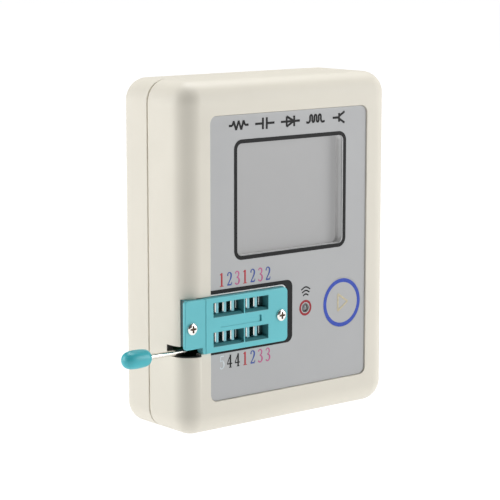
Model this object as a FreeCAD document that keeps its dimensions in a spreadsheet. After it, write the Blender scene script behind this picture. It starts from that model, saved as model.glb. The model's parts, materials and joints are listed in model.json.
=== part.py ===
import FreeCAD, Part
import math
import os
import Sketcher
from types import SimpleNamespace

# Component tester: a palm-sized bench instrument that stands on its bottom edge.
# Millimetres. +X is right seen from the front, the front looks along -Y, +Z is up,
# and the origin is the middle of the casing's bottom face.

doc = FreeCAD.newDocument("component_tester")
sheet = doc.addObject("Spreadsheet::Sheet", "Sizes")
Vector = FreeCAD.Vector
nodes = []


class Size:
    """A length with its value and the sheet formula that gives it."""

    def __init__(self, formula, value):
        self.formula = formula
        self.value = value

    def join(self, sign, other, value):
        return Size("(%s %s %s)" % (self.formula, sign, other.formula), value)

    def __add__(self, other):
        other = as_size(other)
        return self.join("+", other, self.value + other.value)

    def __sub__(self, other):
        other = as_size(other)
        return self.join("-", other, self.value - other.value)

    def __mul__(self, other):
        other = as_size(other)
        return self.join("*", other, self.value * other.value)

    def __truediv__(self, other):
        other = as_size(other)
        return self.join("/", other, self.value / other.value)

    def __rmul__(self, other):
        return as_size(other) * self

    def __neg__(self):
        return as_size(0) - self


def as_size(number):
    """A plain number as a Size."""
    return number if isinstance(number, Size) else Size(repr(float(number)), float(number))


def size(alias, value, note):
    """Puts one driving dimension in the sheet and returns it."""
    size.row += 1
    sheet.set("A%d" % size.row, note)
    sheet.set("B%d" % size.row, str(value))
    sheet.setAlias("B%d" % size.row, alias)
    return Size("Sizes." + alias, value)


def sizes_of(name, note, **values):
    """Puts the dimensions of one small piece in the sheet, a row for each."""
    rows = {key: size(name + "_" + key, value, note + ", " + key) for key, value in values.items()}
    return SimpleNamespace(**rows)


size.row = 0

# Casing
case_width = size("case_width", 70.0, "casing, side to side")
case_height = size("case_height", 90.5, "casing, bottom to top")
case_depth = size("case_depth", 27.0, "casing, front to back")
front_depth = size("front_depth", 15.0, "front shell, front face to seam")
corner_radius = size("corner_radius", 5.8, "casing corners seen from the front")
front_edge_radius = size("front_edge_radius", 5.5, "rounding round the front face")
rear_edge_radius = size("rear_edge_radius", 4.0, "rounding round the back face")
side_wall = size("side_wall", 2.0, "front shell side wall")
front_wall = size("front_wall", 2.3, "front shell front wall")
rear_wall = size("rear_wall", 2.0, "rear shell back wall")
inner_radius = size("inner_radius", 2.0, "rounding inside the shells")
seam_width = size("seam_width", 0.45, "groove between the shells")
seam_sink = size("seam_sink", 0.5, "depth of that groove")
lip_width = size("lip_width", 1.0, "rear shell lip inside the front shell")
lip_length = size("lip_length", 1.5, "how far the lip reaches in")
lip_gap = size("lip_gap", 0.1, "clearance round the lip")
boss_inset = size("boss_inset", 6.8, "case screw axis to the casing's sides")
front_boss_radius = size("front_boss_radius", 2.8, "screw boss in the front shell")
rear_boss_radius = size("rear_boss_radius", 4.0, "screw boss in the rear shell")
overcut = size("overcut", 1.0, "how far a cut runs past the face it opens")
root_depth = size("root_depth", 0.5, "how far a joined piece reaches into its neighbour")

# Screws
case_screw_radius = size("case_screw_radius", 1.1, "case screw shank")
case_screw_length = size("case_screw_length", 15.0, "case screw under the head")
case_head_radius = size("case_head_radius", 2.5, "case screw head")
case_head_height = size("case_head_height", 1.8, "case screw head")
case_head_sink = size("case_head_sink", 4.0, "counterbore in the back face")
pcb_screw_radius = size("pcb_screw_radius", 0.9, "board screw shank")
pcb_screw_length = size("pcb_screw_length", 6.0, "board screw under the head")
pcb_head_height = size("pcb_head_height", 1.2, "board screw head")
socket_screw_radius = size("socket_screw_radius", 0.5, "socket screw shank")
socket_screw_length = size("socket_screw_length", 4.0, "socket screw under the head")
socket_head_radius = size("socket_head_radius", 1.5, "socket screw head")
socket_head_height = size("socket_head_height", 0.6, "socket screw head")
screw_gap = size("screw_gap", 0.05, "radial room round a screw in its thread hole")
clearance = size("clearance", 0.3, "radial room round a screw in a clearance hole")
rim_share = size("rim_share", 0.55, "straight side of a screw head, of its height")
crown_share = size("crown_share", 0.7, "top of a screw head, of its radius")
recess_share = size("recess_share", 0.6, "cross recess depth, of the head's height")
recess_reach = size("recess_reach", 0.62, "cross recess reach, of the head's radius")
recess_width = size("recess_width", 0.34, "cross recess slot, of the head's radius")

# Front label and its openings
label_width = size("label_width", 53.0, "front label, side to side")
label_height = size("label_height", 73.0, "front label, bottom to top")
label_radius = size("label_radius", 2.0, "front label corners")
label_sink = size("label_sink", 0.4, "label below the front face")
label_thickness = size("label_thickness", 0.3, "front label film")
label_gap = size("label_gap", 0.1, "room round the label in its recess")
notch_gap = size("notch_gap", 0.15, "label below and above the socket cover")
notch_end_gap = size("notch_end_gap", 0.25, "label past the socket cover's end")
window_width = size("window_width", 36.1, "display window")
window_height = size("window_height", 28.9, "display window")
window_radius = size("window_radius", 1.5, "display window corners")
window_wall = size("window_wall", 1.1, "front wall round the window")
display_z = size("display_z", 60.0, "middle of the display")
controls_z = size("controls_z", 29.33, "line through socket, receiver and key")
receiver_x = size("receiver_x", 5.4, "infrared receiver axis")
receiver_hole = size("receiver_hole", 1.25, "hole in front of the receiver")
key_x = size("key_x", 18.3, "start key axis")
key_radius = size("key_radius", 6.7, "start key film disc")
key_gap = size("key_gap", 0.15, "front wall round the key")
key_travel = size("key_travel", 0.4, "start key travel")

# Start key, switch and receiver behind the label
flange_thickness = size("flange_thickness", 1.0, "key cap flange")
flange_rim = size("flange_rim", 0.9, "key cap flange past the film disc")
stem_gap = size("stem_gap", 0.1, "key cap stem inside the film disc's edge")
nose_length = size("nose_length", 1.3, "key cap nose towards the switch")
plunger_radius = size("plunger_radius", 1.75, "switch plunger")
plunger_seat = size("plunger_seat", 0.8, "plunger inside the switch at rest")
bore_spare = size("bore_spare", 0.2, "switch bore past the plunger's travel")
switch_side = size("switch_side", 6.0, "switch body, square")
switch_height = size("switch_height", 3.5, "switch body above the board")
receiver = sizes_of("receiver", "infrared receiver", gap=0.9, depth=3.6, width=6.0, height=6.6,
                    dome_radius=1.5, dome_sink=1.2, leg_drop=1.5)
lens = sizes_of("lens", "receiver lens", radius=1.1, flange=2.0, flange_depth=0.4, sink=0.05)

# Display stack and board
lcd_width = size("lcd_width", 46.7, "display module")
lcd_height = size("lcd_height", 34.0, "display module")
lcd_sink = size("lcd_sink", 2.65, "display glass below the label")
lcd_glass = size("lcd_glass", 1.4, "display glass")
lcd_backlight = size("lcd_backlight", 1.05, "display backlight")
carrier_rim = size("carrier_rim", 2.8, "display carrier frame")
gasket_gap = size("gasket_gap", 0.3, "room round the gasket in its seat")
gasket_setback = size("gasket_setback", 0.1, "gasket behind the window's edge")
flex = sizes_of("flex", "display flex", width=16.0, thickness=0.15, reach=1.6, foot=1.4)
pcb_sink = size("pcb_sink", 9.5, "board below the front face")
pcb_thickness = size("pcb_thickness", 1.6, "board")
pcb_width = size("pcb_width", 62.0, "board")
pcb_height = size("pcb_height", 70.0, "board")
post_inset_x = size("post_inset_x", 3.0, "board screws from the board's sides")
post_inset_z = size("post_inset_z", 3.3, "board screws from the board's ends")
post_radius = size("post_radius", 2.2, "posts under the board")
processor = sizes_of("processor", "processor", x=-6.0, z=52.0, width=7.0, height=7.0, depth=1.4)
charger = sizes_of("charger", "charger chip", x=20.0, z=26.0, width=5.0, height=4.0, depth=1.5)
inductor = sizes_of("inductor", "boost inductor", x=20.0, z=35.0, width=6.0, height=6.0, depth=3.0)
crystal = sizes_of("crystal", "crystal can", x=-6.0, z=41.0, width=6.6, height=4.4, depth=3.4)
connector = sizes_of("connector", "cell connector", x=0.0, z=76.0, width=6.0, height=4.0, depth=4.8)
capacitor = sizes_of("capacitor", "chip capacitors", x=-18.0, z=60.0, step_x=4.0, step_z=5.0,
                     width=2.0, height=1.25, depth=1.2)
resistor = sizes_of("resistor", "chip resistors", x=6.0, z=44.0, step_x=3.5, step_z=4.0,
                    width=1.25, height=2.0, depth=0.55)

# Lever socket
contact_pitch = size("contact_pitch", 2.54, "contacts along a row")
row_spacing = size("row_spacing", 7.62, "between the two rows")
first_contact_x = size("first_contact_x", -25.23, "leftmost contact")
contact_thickness = size("contact_thickness", 0.3, "contact blade")
contact_width = size("contact_width", 2.4, "contact blade along Z")
contact_sink = size("contact_sink", 1.1, "blade tips below the cover's face")
end_sink = size("end_sink", 1.1, "blade tips of the end columns, below the others")
blade_lift = size("blade_lift", 2.0, "blade's end above the board")
blade_gap = size("blade_gap", 0.02, "base round a blade or tail")
tail_width = size("tail_width", 0.5, "contact tail through the board")
tail_hole = size("tail_hole", 0.45, "board hole round a tail, radius")
tail_rest = size("tail_rest", 1.4, "tail past the board")
cover_rise = size("cover_rise", 1.1, "cover above the front face")
cover_thickness = size("cover_thickness", 2.5, "cover over the contacts")
end_plate = size("end_plate", 1.25, "cover at the lever end")
cover_left = size("cover_left", -35.6, "cover's lever end")
cover_step = size("cover_step", -30.1, "where the cover grows wider")
cover_right = size("cover_right", -1.95, "cover's other end")
cover_bottom = size("cover_bottom", 21.75, "cover's lower edge")
cover_top = size("cover_top", 36.05, "cover's upper edge")
cover_notch = size("cover_notch", 1.66, "lower edge raised for the lever")
cover_radius = size("cover_radius", 1.3, "cover corners")
cover_end_radius = size("cover_end_radius", 0.8, "cover corners at the lever end")
row_below = size("row_below", 1.6, "cover window below a row's middle")
row_above = size("row_above", 1.45, "cover window above a row's middle")
row_left = size("row_left", 1.37, "cover window left of the first contact")
row_right = size("row_right", 1.39, "cover window right of the last contact")
divider_side = size("divider_side", 0.86, "window divider right of its contact")
divider_width = size("divider_width", 0.45, "window divider")
lead_in = size("lead_in", 0.7, "slope below each cover window")
lead_depth = size("lead_depth", 0.9, "depth of that slope")
panel = sizes_of("panel", "sunk panel between the rows", left=0.83, below=1.25, above=0.45, sink=0.15)
key_notch = sizes_of("notch", "dark notch at the panel's end", setback=1.37, width=0.5, depth=1.2)
step_line = size("step_line", 3.77, "sunk lever end, left of the first contact")
slider_thickness = size("slider_thickness", 0.8, "slider plate")
slider_travel = size("slider_travel", 0.7, "slider travel")
slider_overhang = size("slider_overhang", 3.07, "slider plate left of the first contact")
slider_inset = size("slider_inset", 0.4, "slider plate inside the base's sides")
slide_gap = size("slide_gap", 0.05, "running clearance")
post_width = size("post_width", 0.85, "slider post beside each contact")
post_inset = size("post_inset", 0.1, "slider post inside the cover window")
way_left = size("way_left", 0.45, "slider opening left of a blade when open")
way_rise = size("way_rise", 0.2, "slider opening above and below a blade")
base_bottom = size("base_bottom", 22.9, "socket base lower side")
base_top = size("base_top", 35.8, "socket base upper side")
base_left = size("base_left", -34.1, "socket base lever end")
base_right = size("base_right", -2.6, "socket base other end")
base_lift = size("base_lift", 1.0, "base raised at the lever end")
base_gap = size("base_gap", 0.2, "base inside the side wall and beside the cover's step")
far_rest = size("far_rest", 3.6, "rest under the cover's far end")
opening_gap = size("opening_gap", 0.1, "front opening round the socket cover and base")
opening_step = size("opening_step", -31.0, "where the front opening narrows to the socket base")
left_screw_x = size("left_screw_x", -33.4, "socket screw by the lever")
right_screw_x = size("right_screw_x", -4.3, "socket screw at the other end")
socket_screw_z = size("socket_screw_z", 28.8, "both socket screws")

# Lever
lever_x = size("lever_x", -31.0, "lever axis")
lever_y = size("lever_y", -9.4, "lever axis")
lever_z = size("lever_z", 22.15, "lever arm height")
rod_radius = size("rod_radius", 0.7, "lever wire")
bend_radius = size("bend_radius", 1.4, "bend of the lever wire")
crank_offset = size("crank_offset", 0.35355, "crank pin from the axis, both ways")
crank_radius = size("crank_radius", 0.5, "crank pin")
web_radius = size("web_radius", 1.25, "crank webs")
web_thickness = size("web_thickness", 0.8, "crank webs")
end_play = size("end_play", 0.2, "lever shaft along its axis")
journal_cap = size("journal_cap", 0.4, "base past the shaft's end")
trough = sizes_of("trough", "crank trough in the base", left=1.7, right=2.1, below=2.7, above=2.2,
                  depth=1.8)
yoke = sizes_of("yoke", "slider yoke round the crank pin", left=1.2, right=1.55, inset=1.6, depth=1.1,
                slot=1.4)
knob_tip_x = size("knob_tip_x", -51.3, "outer end of the knob")
knob_length = size("knob_length", 8.3, "knob")
knob_radius = size("knob_radius", 2.4, "knob")
rod_tip_x = size("rod_tip_x", -48.5, "wire end inside the knob")
slot_bottom = size("slot_bottom", 21.0, "lever slot lower side")
slot_top = size("slot_top", 23.7, "lever slot upper side")
slot_right = size("slot_right", -29.8, "lever slot inner end")
slot_back = size("slot_back", -6.0, "lever slot depth")

# Charging socket, charge light and cell
usb_z = size("usb_z", 21.0, "charging socket")
usb_width = size("usb_width", 7.5, "charging socket")
usb_height = size("usb_height", 2.7, "charging socket")
usb_length = size("usb_length", 5.4, "charging socket")
usb_wall = size("usb_wall", 0.3, "charging socket sheet")
usb_gap = size("usb_gap", 0.45, "opening round the charging socket")
usb_overhang = size("usb_overhang", 2.4, "charging socket past the board's edge")
tongue = sizes_of("tongue", "tongue in the charging socket", thickness=0.6, setback=0.8, inset=1.6)
led_z = size("led_z", 29.5, "charge light")
led_hole = size("led_hole", 0.9, "hole in front of the charge light")
led = sizes_of("led", "charge light", length=1.6, width=1.2, depth=0.8)
cell_width = size("cell_width", 34.0, "lithium cell")
cell_height = size("cell_height", 50.0, "lithium cell")
cell_thickness = size("cell_thickness", 6.0, "lithium cell")
cell_bottom = size("cell_bottom", 20.0, "lithium cell lower end")
tape_thickness = size("tape_thickness", 0.3, "tape under the cell")
tape_inset = size("tape_inset", 4.0, "tape inside the cell's edges")
lead_radius = size("lead_radius", 0.6, "cell lead")
lead_bend = size("lead_bend", 2.4, "bend of the cell leads")
lead_spacing = size("lead_spacing", 2.0, "between the two cell leads")

doc.recompute()

# Planes and lines that several pieces share
middle = as_size(0)
half_width = case_width / 2
front_face = -case_depth / 2
back_face = case_depth / 2
seam = front_face + front_depth
front_inner = front_face + front_wall
rear_inner = back_face - rear_wall
case_screw_seat = back_face - case_head_sink
label_front = front_face + label_sink
label_back = label_front + label_thickness
gasket_front = label_back + window_wall
glass_front = label_front + lcd_sink
glass_back = glass_front + lcd_glass
backlight_back = glass_back + lcd_backlight
pcb_front = front_face + pcb_sink
pcb_back = pcb_front + pcb_thickness
pcb_bottom = case_height / 2 - pcb_height / 2
cover_front = front_face - cover_rise
cover_back = cover_front + cover_thickness
end_plate_back = cover_front + end_plate
slider_front = cover_back + slide_gap
slider_back = slider_front + slider_thickness
base_front = slider_back + slide_gap
base_lever_bottom = base_bottom + base_lift
shelf_back = lever_y - slide_gap * 2
shaft_end = base_top - journal_cap
contact_tip = cover_front + contact_sink
blade_back = pcb_front - blade_lift
tail_back = pcb_back + tail_rest
trough_x = (lever_x - trough.left, lever_x + trough.right)
trough_z = (base_bottom + trough.below, base_top - trough.above)
pin_x = lever_x - crank_offset
rows = (controls_z - row_spacing / 2, controls_z + row_spacing / 2)
column_count = 7
columns = [first_contact_x + contact_pitch * i for i in range(column_count)]
end_columns = (3, 6)


# Helpers
def bind(obj, name, length):
    obj.setExpression(name, as_size(length).formula)


def place(obj, x, y, z):
    bind(obj, "Placement.Base.x", x)
    bind(obj, "Placement.Base.y", y)
    bind(obj, "Placement.Base.z", z)


def centred(centre, length):
    return (centre - length / 2, centre + length / 2)


def inset(span, distance):
    return (span[0] + distance, span[1] - distance)


def ordered(one, other):
    return sorted((one, other), key=lambda length: length.value)


def block(name, x, y, z):
    """A box between two ends on each axis."""
    box = doc.addObject("Part::Box", name)
    bind(box, "Length", x[1] - x[0])
    bind(box, "Width", y[1] - y[0])
    bind(box, "Height", z[1] - z[0])
    place(box, x[0], y[0], z[0])
    return box


def turned(axis):
    """The turn that takes local Z to the named axis."""
    if axis == "X":
        return FreeCAD.Rotation(Vector(0, 1, 0), 90)
    if axis == "Y":
        return FreeCAD.Rotation(Vector(1, 0, 0), -90)
    return FreeCAD.Rotation()


def start_point(axis, across, along):
    """Start of a round bar: across holds its other two coordinates in X, Y, Z order."""
    if axis == "X":
        return along, across[0], across[1]
    if axis == "Y":
        return across[0], along, across[1]
    return across[0], across[1], along


def bar(name, axis, across, radius, ends):
    """A round bar along an axis, between two ends."""
    cylinder = doc.addObject("Part::Cylinder", name)
    cylinder.Placement = FreeCAD.Placement(Vector(), turned(axis))
    bind(cylinder, "Radius", radius)
    bind(cylinder, "Height", ends[1] - ends[0])
    place(cylinder, *start_point(axis, across, ends[0]))
    return cylinder


def taper(name, axis, across, radii, ends):
    """A cone along an axis, from the first radius to the second."""
    cone = doc.addObject("Part::Cone", name)
    cone.Placement = FreeCAD.Placement(Vector(), turned(axis))
    bind(cone, "Radius1", radii[0])
    bind(cone, "Radius2", radii[1])
    bind(cone, "Height", ends[1] - ends[0])
    place(cone, *start_point(axis, across, ends[0]))
    return cone


def ball(name, x, y, z, radius):
    sphere = doc.addObject("Part::Sphere", name)
    bind(sphere, "Radius", radius)
    place(sphere, x, y, z)
    return sphere


def elbow(name, x, y, z, radius, wire, first, second):
    """A quarter bend about a centre, from the first direction to the second."""
    ring = doc.addObject("Part::Torus", name)
    turn = FreeCAD.Rotation(first, second, first.cross(second), "XYZ")
    ring.Placement = FreeCAD.Placement(Vector(), turn)
    bind(ring, "Radius1", radius)
    bind(ring, "Radius2", wire)
    ring.Angle3 = 90
    place(ring, x, y, z)
    return ring


def fused(name, pieces):
    union = doc.addObject("Part::MultiFuse", name)
    union.Shapes = pieces
    union.Refine = True
    return union


def grouped(name, pieces):
    group = doc.addObject("Part::Compound", name)
    group.Links = pieces
    return group


def carved(name, base, tools):
    cut = doc.addObject("Part::Cut", name)
    cut.Base = base
    cut.Tool = tools[0] if len(tools) == 1 else fused(name + "_tools", tools)
    cut.Refine = True
    return cut


def node(obj, name):
    """Marks an object as a finished sub-part under its own name."""
    obj.Label = name
    nodes.append(obj)


def rounded_sketch(body, name, level, x, z, radius):
    """A rounded rectangle that faces the front, in the plane Y = level."""
    sketch = body.newObject("Sketcher::SketchObject", name)
    plane = [o for o in body.Origin.OriginFeatures if o.Role == "XZ_Plane"][0]
    sketch.AttachmentSupport = [(plane, "")]
    sketch.MapMode = "FlatFace"
    bind(sketch, "AttachmentOffset.Base.x", (x[0] + x[1]) / 2)
    bind(sketch, "AttachmentOffset.Base.y", (z[0] + z[1]) / 2)
    bind(sketch, "AttachmentOffset.Base.z", -level)
    width = x[1] - x[0]
    height = z[1] - z[0]
    right = width.value / 2
    top = height.value / 2
    r = radius.value
    corners = ((right - r, r - top), (right - r, top - r), (r - right, top - r), (r - right, r - top))
    ends = ((r - right, -top, right - r, -top), (right, r - top, right, top - r),
            (right - r, top, r - right, top), (-right, top - r, -right, r - top))
    for quarter in range(4):
        x0, z0, x1, z1 = ends[quarter]
        sketch.addGeometry(Part.LineSegment(Vector(x0, z0, 0), Vector(x1, z1, 0)))
        circle = Part.Circle(Vector(corners[quarter][0], corners[quarter][1], 0), Vector(0, 0, 1), r)
        start = math.pi / 2 * (quarter - 1)
        sketch.addGeometry(Part.ArcOfCircle(circle, start, start + math.pi / 2))
    for edge in range(8):
        sketch.addConstraint(Sketcher.Constraint("Tangent", edge, 2, (edge + 1) % 8, 1))
    for edge in (0, 4):
        sketch.addConstraint(Sketcher.Constraint("Horizontal", edge))
    for edge in (2, 6):
        sketch.addConstraint(Sketcher.Constraint("Vertical", edge))
    for arc in (3, 5, 7):
        sketch.addConstraint(Sketcher.Constraint("Equal", 1, arc))
    sketch.addConstraint(Sketcher.Constraint("Symmetric", 0, 1, 4, 1, -1, 1))
    sizes = (("Width", "DistanceX", (6, 1, 2, 1), width), ("Height", "DistanceY", (0, 1, 4, 1), height),
             ("Corner", "Radius", (1,), radius))
    for title, kind, points, length in sizes:
        index = sketch.addConstraint(Sketcher.Constraint(kind, *points, length.value))
        sketch.renameConstraint(index, title)
        bind(sketch, "Constraints." + title, length)
    return sketch


def pad(body, name, level, length, x, z, radius):
    """Adds a rounded plate whose back is at Y = level and that grows towards the front."""
    feature = body.newObject("PartDesign::Pad", name)
    feature.Profile = rounded_sketch(body, name + "_outline", level, x, z, radius)
    bind(feature, "Length", length)
    return feature


def pocket(body, name, level, length, x, z, radius, towards_front=False):
    """Removes a rounded plate that starts at Y = level and runs towards the back."""
    feature = body.newObject("PartDesign::Pocket", name)
    feature.Profile = rounded_sketch(body, name + "_outline", level, x, z, radius)
    feature.Reversed = towards_front
    bind(feature, "Length", length)
    return feature


def round_loop(body, name, feature, level, radius):
    """Rounds every edge of a feature that lies in the plane Y = level."""
    doc.recompute()
    near = 1e-4
    loop = []
    for index, edge in enumerate(feature.Shape.Edges, 1):
        box = edge.BoundBox
        if abs(box.YMin - level.value) < near and abs(box.YMax - level.value) < near:
            loop.append("Edge%d" % index)
    fillet = body.newObject("PartDesign::Fillet", name)
    fillet.Base = (feature, loop)
    bind(fillet, "Radius", radius)
    return fillet


def cross_recess(name, x, y, z, reach, width):
    """Two crossed slots for a screwdriver, in a head that faces along Y."""
    flat = block(name + "_flat", centred(x, reach * 2), y, centred(z, width))
    tall = block(name + "_tall", centred(x, width), y, centred(z, reach * 2))
    return fused(name, [flat, tall])


def driven_screw(name, at, seat, facing, radius, length, head_radius, head_height):
    """A pan-head screw with a cross recess; facing is +1 where the head looks along +Y."""
    top = seat + head_height * facing
    rim = seat + head_height * rim_share * facing
    tip = seat - length * facing
    crown = (head_radius, head_radius * crown_share)
    pieces = [bar(name + "_head", "Y", at, head_radius, ordered(seat, rim)),
              taper(name + "_crown", "Y", at, crown[::facing], ordered(rim, top)),
              bar(name + "_shank", "Y", at, radius, ordered(tip, seat))]
    recess_y = ordered(top + overcut * facing, top - head_height * recess_share * facing)
    slots = cross_recess(name + "_recess", at[0], recess_y, at[1], head_radius * recess_reach,
                         head_radius * recess_width)
    return carved(name, fused(name + "_blank", pieces), [slots])


# Casing
case_x = (-half_width, half_width)
case_z = (middle, case_height)
window_x = centred(middle, window_width)
window_z = centred(display_z, window_height)
boss_places = [(side * (half_width - boss_inset), level)
               for side in (-1, 1) for level in inset(case_z, boss_inset)]
post_places = [(side * (pcb_width / 2 - post_inset_x), level)
               for side in (-1, 1) for level in inset((pcb_bottom, pcb_bottom + pcb_height), post_inset_z)]


def front_shell():
    body = doc.addObject("PartDesign::Body", "front_shell_form")
    outside = pad(body, "front_outside", seam, front_depth, case_x, case_z, corner_radius)
    round_loop(body, "front_rounding", outside, front_face, front_edge_radius)
    hollow = pocket(body, "front_hollow", seam, front_depth - front_wall, inset(case_x, side_wall),
                    inset(case_z, side_wall), corner_radius - side_wall, True)
    round_loop(body, "front_inner_rounding", hollow, front_inner, inner_radius)
    recess_x = centred(middle, label_width + label_gap * 2)
    recess_z = centred(case_height / 2, label_height + label_gap * 2)
    pocket(body, "label_recess", front_face, label_back - front_face, recess_x, recess_z, label_radius)
    pocket(body, "display_window", front_face, front_wall + overcut, window_x, window_z, window_radius)
    pocket(body, "gasket_seat", gasket_front, front_wall, centred(middle, lcd_width),
           centred(display_z, lcd_height), window_radius)
    doc.recompute()
    posts = [bar("boss_%d" % i, "Y", at, front_boss_radius, (front_inner - root_depth, seam))
             for i, at in enumerate(boss_places)]
    posts += [bar("post_%d" % i, "Y", at, post_radius, (front_inner - root_depth, pcb_front))
              for i, at in enumerate(post_places)]
    solid = fused("front_shell_solid", [body] + posts)
    ahead = front_face - overcut
    wall_y = (ahead, front_inner + overcut)
    opening_y = (ahead, front_inner + inner_radius + overcut * 2)
    right_wall_x = (half_width - side_wall - overcut, half_width + overcut)
    tools = [
        block("socket_opening", (opening_step, cover_right + opening_gap), opening_y,
              (cover_bottom - opening_gap, cover_top + opening_gap)),
        block("lever_end_opening", (base_left - opening_gap, opening_step), opening_y,
              (cover_bottom - opening_gap, base_top + opening_gap)),
        block("lever_slot", (-half_width - overcut, slot_right), (ahead, slot_back),
              (slot_bottom, slot_top)),
        bar("key_hole", "Y", (key_x, controls_z), key_radius + key_gap, wall_y),
        bar("receiver_hole_cut", "Y", (receiver_x, controls_z), receiver_hole, wall_y),
        block("usb_opening", right_wall_x, (pcb_front - usb_height - usb_gap, pcb_front + usb_gap),
              centred(usb_z, usb_width + usb_gap * 2)),
        bar("led_hole_cut", "X", (pcb_front - led.depth / 2, led_z), led_hole, right_wall_x),
    ]
    tools += [bar("boss_pilot_%d" % i, "Y", at, case_screw_radius + screw_gap,
                  (case_screw_seat - case_screw_length - overcut, seam + overcut))
              for i, at in enumerate(boss_places)]
    tools += [bar("post_pilot_%d" % i, "Y", at, pcb_screw_radius + screw_gap,
                  (pcb_back - pcb_screw_length - overcut, pcb_front + overcut))
              for i, at in enumerate(post_places)]
    node(carved("front_shell_cut", solid, tools), "front_shell")


def rear_shell():
    body = doc.addObject("PartDesign::Body", "rear_shell_form")
    outside = pad(body, "rear_outside", back_face, back_face - seam - seam_width, case_x, case_z,
                  corner_radius)
    round_loop(body, "rear_rounding", outside, back_face, rear_edge_radius)
    pad(body, "rear_rim", seam + seam_width, seam_width, inset(case_x, seam_sink),
        inset(case_z, seam_sink), corner_radius - seam_sink)
    lip_inset = side_wall + lip_gap
    pad(body, "rear_lip", seam, lip_length, inset(case_x, lip_inset), inset(case_z, lip_inset),
        corner_radius - lip_inset)
    hollow_inset = lip_inset + lip_width
    hollow = pocket(body, "rear_hollow", seam - lip_length, rear_inner - seam + lip_length,
                    inset(case_x, hollow_inset), inset(case_z, hollow_inset),
                    corner_radius - hollow_inset)
    round_loop(body, "rear_inner_rounding", hollow, rear_inner, inner_radius)
    bosses = [bar("rear_boss_%d" % i, "Y", at, rear_boss_radius, (seam, rear_inner + root_depth))
              for i, at in enumerate(boss_places)]
    solid = fused("rear_shell_solid", [body] + bosses)
    tools = []
    for i, at in enumerate(boss_places):
        tools.append(bar("screw_way_%d" % i, "Y", at, case_screw_radius + clearance,
                         (seam - overcut, back_face + overcut)))
        tools.append(bar("head_sink_%d" % i, "Y", at, case_head_radius + clearance,
                         (case_screw_seat, back_face + overcut)))
    node(carved("rear_shell_cut", solid, tools), "rear_shell")


def case_screws():
    screws = [driven_screw("case_screw_%d" % i, at, case_screw_seat, 1, case_screw_radius,
                           case_screw_length, case_head_radius, case_head_height)
              for i, at in enumerate(boss_places)]
    node(grouped("case_screw_set", screws), "case_screws")


def front_label():
    body = doc.addObject("PartDesign::Body", "label_form")
    pad(body, "label_film", label_back, label_thickness, centred(middle, label_width),
        centred(case_height / 2, label_height), label_radius)
    ahead = label_front - overcut
    cut = label_thickness + overcut * 2
    pocket(body, "label_window", ahead, cut, window_x, window_z, window_radius)
    notch_x = (-label_width / 2 - cover_radius - overcut, cover_right + notch_end_gap)
    pocket(body, "label_socket_notch", ahead, cut, notch_x,
           (cover_bottom - notch_gap, cover_top + notch_gap), cover_radius)
    doc.recompute()
    through = (ahead, label_back + overcut)
    holes = [bar("label_key_hole", "Y", (key_x, controls_z), key_radius + slide_gap, through),
             bar("label_receiver_hole", "Y", (receiver_x, controls_z), receiver_hole - slide_gap, through)]
    node(carved("label_cut", body, holes), "front_label")


# Display stack
def display_stack():
    outline_x = centred(middle, lcd_width)
    outline_z = centred(display_z, lcd_height)
    gasket = doc.addObject("PartDesign::Body", "gasket_form")
    gasket_depth = glass_front - gasket_front
    pad(gasket, "gasket_frame", glass_front, gasket_depth, inset(outline_x, gasket_gap),
        inset(outline_z, gasket_gap), window_radius)
    pocket(gasket, "gasket_opening", gasket_front - overcut, gasket_depth + overcut * 2,
           inset(window_x, -gasket_setback), inset(window_z, -gasket_setback), window_radius)
    node(gasket, "display_gasket")
    node(block("glass_plate", outline_x, (glass_front, glass_back), outline_z), "lcd_panel")
    node(block("light_plate", outline_x, (glass_back, backlight_back), outline_z), "lcd_backlight")
    outside = block("carrier_outside", outline_x, (backlight_back, pcb_front), outline_z)
    inside = block("carrier_inside", inset(outline_x, carrier_rim),
                   (backlight_back - overcut, pcb_front + overcut), inset(outline_z, carrier_rim))
    node(carved("carrier_frame", outside, [inside]), "lcd_carrier")
    edge = outline_x[1]
    fold = edge + flex.reach
    drop_x = (fold - flex.thickness, fold)
    flex_z = centred(display_z, flex.width)
    runs = [block("flex_top", (edge, fold), (glass_back, glass_back + flex.thickness), flex_z),
            block("flex_drop", drop_x, (glass_back, pcb_front), flex_z),
            block("flex_foot", (drop_x[0], fold + flex.foot), (pcb_front - flex.thickness, pcb_front),
                  flex_z)]
    node(fused("flex_strip", runs), "lcd_flex")


# Board and what is soldered to it
def main_board():
    board = block("board_blank", centred(middle, pcb_width), (pcb_front, pcb_back),
                  (pcb_bottom, pcb_bottom + pcb_height))
    through = (pcb_front - overcut, pcb_back + overcut)
    holes = [bar("board_hole_%d" % i, "Y", at, pcb_screw_radius + clearance, through)
             for i, at in enumerate(post_places)]
    holes += each_contact(lambda name, x, z: bar("tail_hole_" + name, "Y", (x, z), tail_hole, through))
    node(carved("board_cut", board, holes), "main_board")
    screws = [driven_screw("board_screw_%d" % i, at, pcb_back, 1, pcb_screw_radius,
                           pcb_screw_length, post_radius, pcb_head_height)
              for i, at in enumerate(post_places)]
    node(grouped("board_screw_set", screws), "board_screws")


def chip(name, part, column=0, line=0):
    """A component body on the back of the board; column and line count along a field of equal ones."""
    x = part.x + part.step_x * column if column else part.x
    z = part.z + part.step_z * line if line else part.z
    return block(name, centred(x, part.width), (pcb_back, pcb_back + part.depth), centred(z, part.height))


def chip_field(name, part, across, lines):
    return grouped(name + "_set", [chip("%s_%d_%d" % (name, column, line), part, column, line)
                                   for line in range(lines) for column in range(across)])


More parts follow.
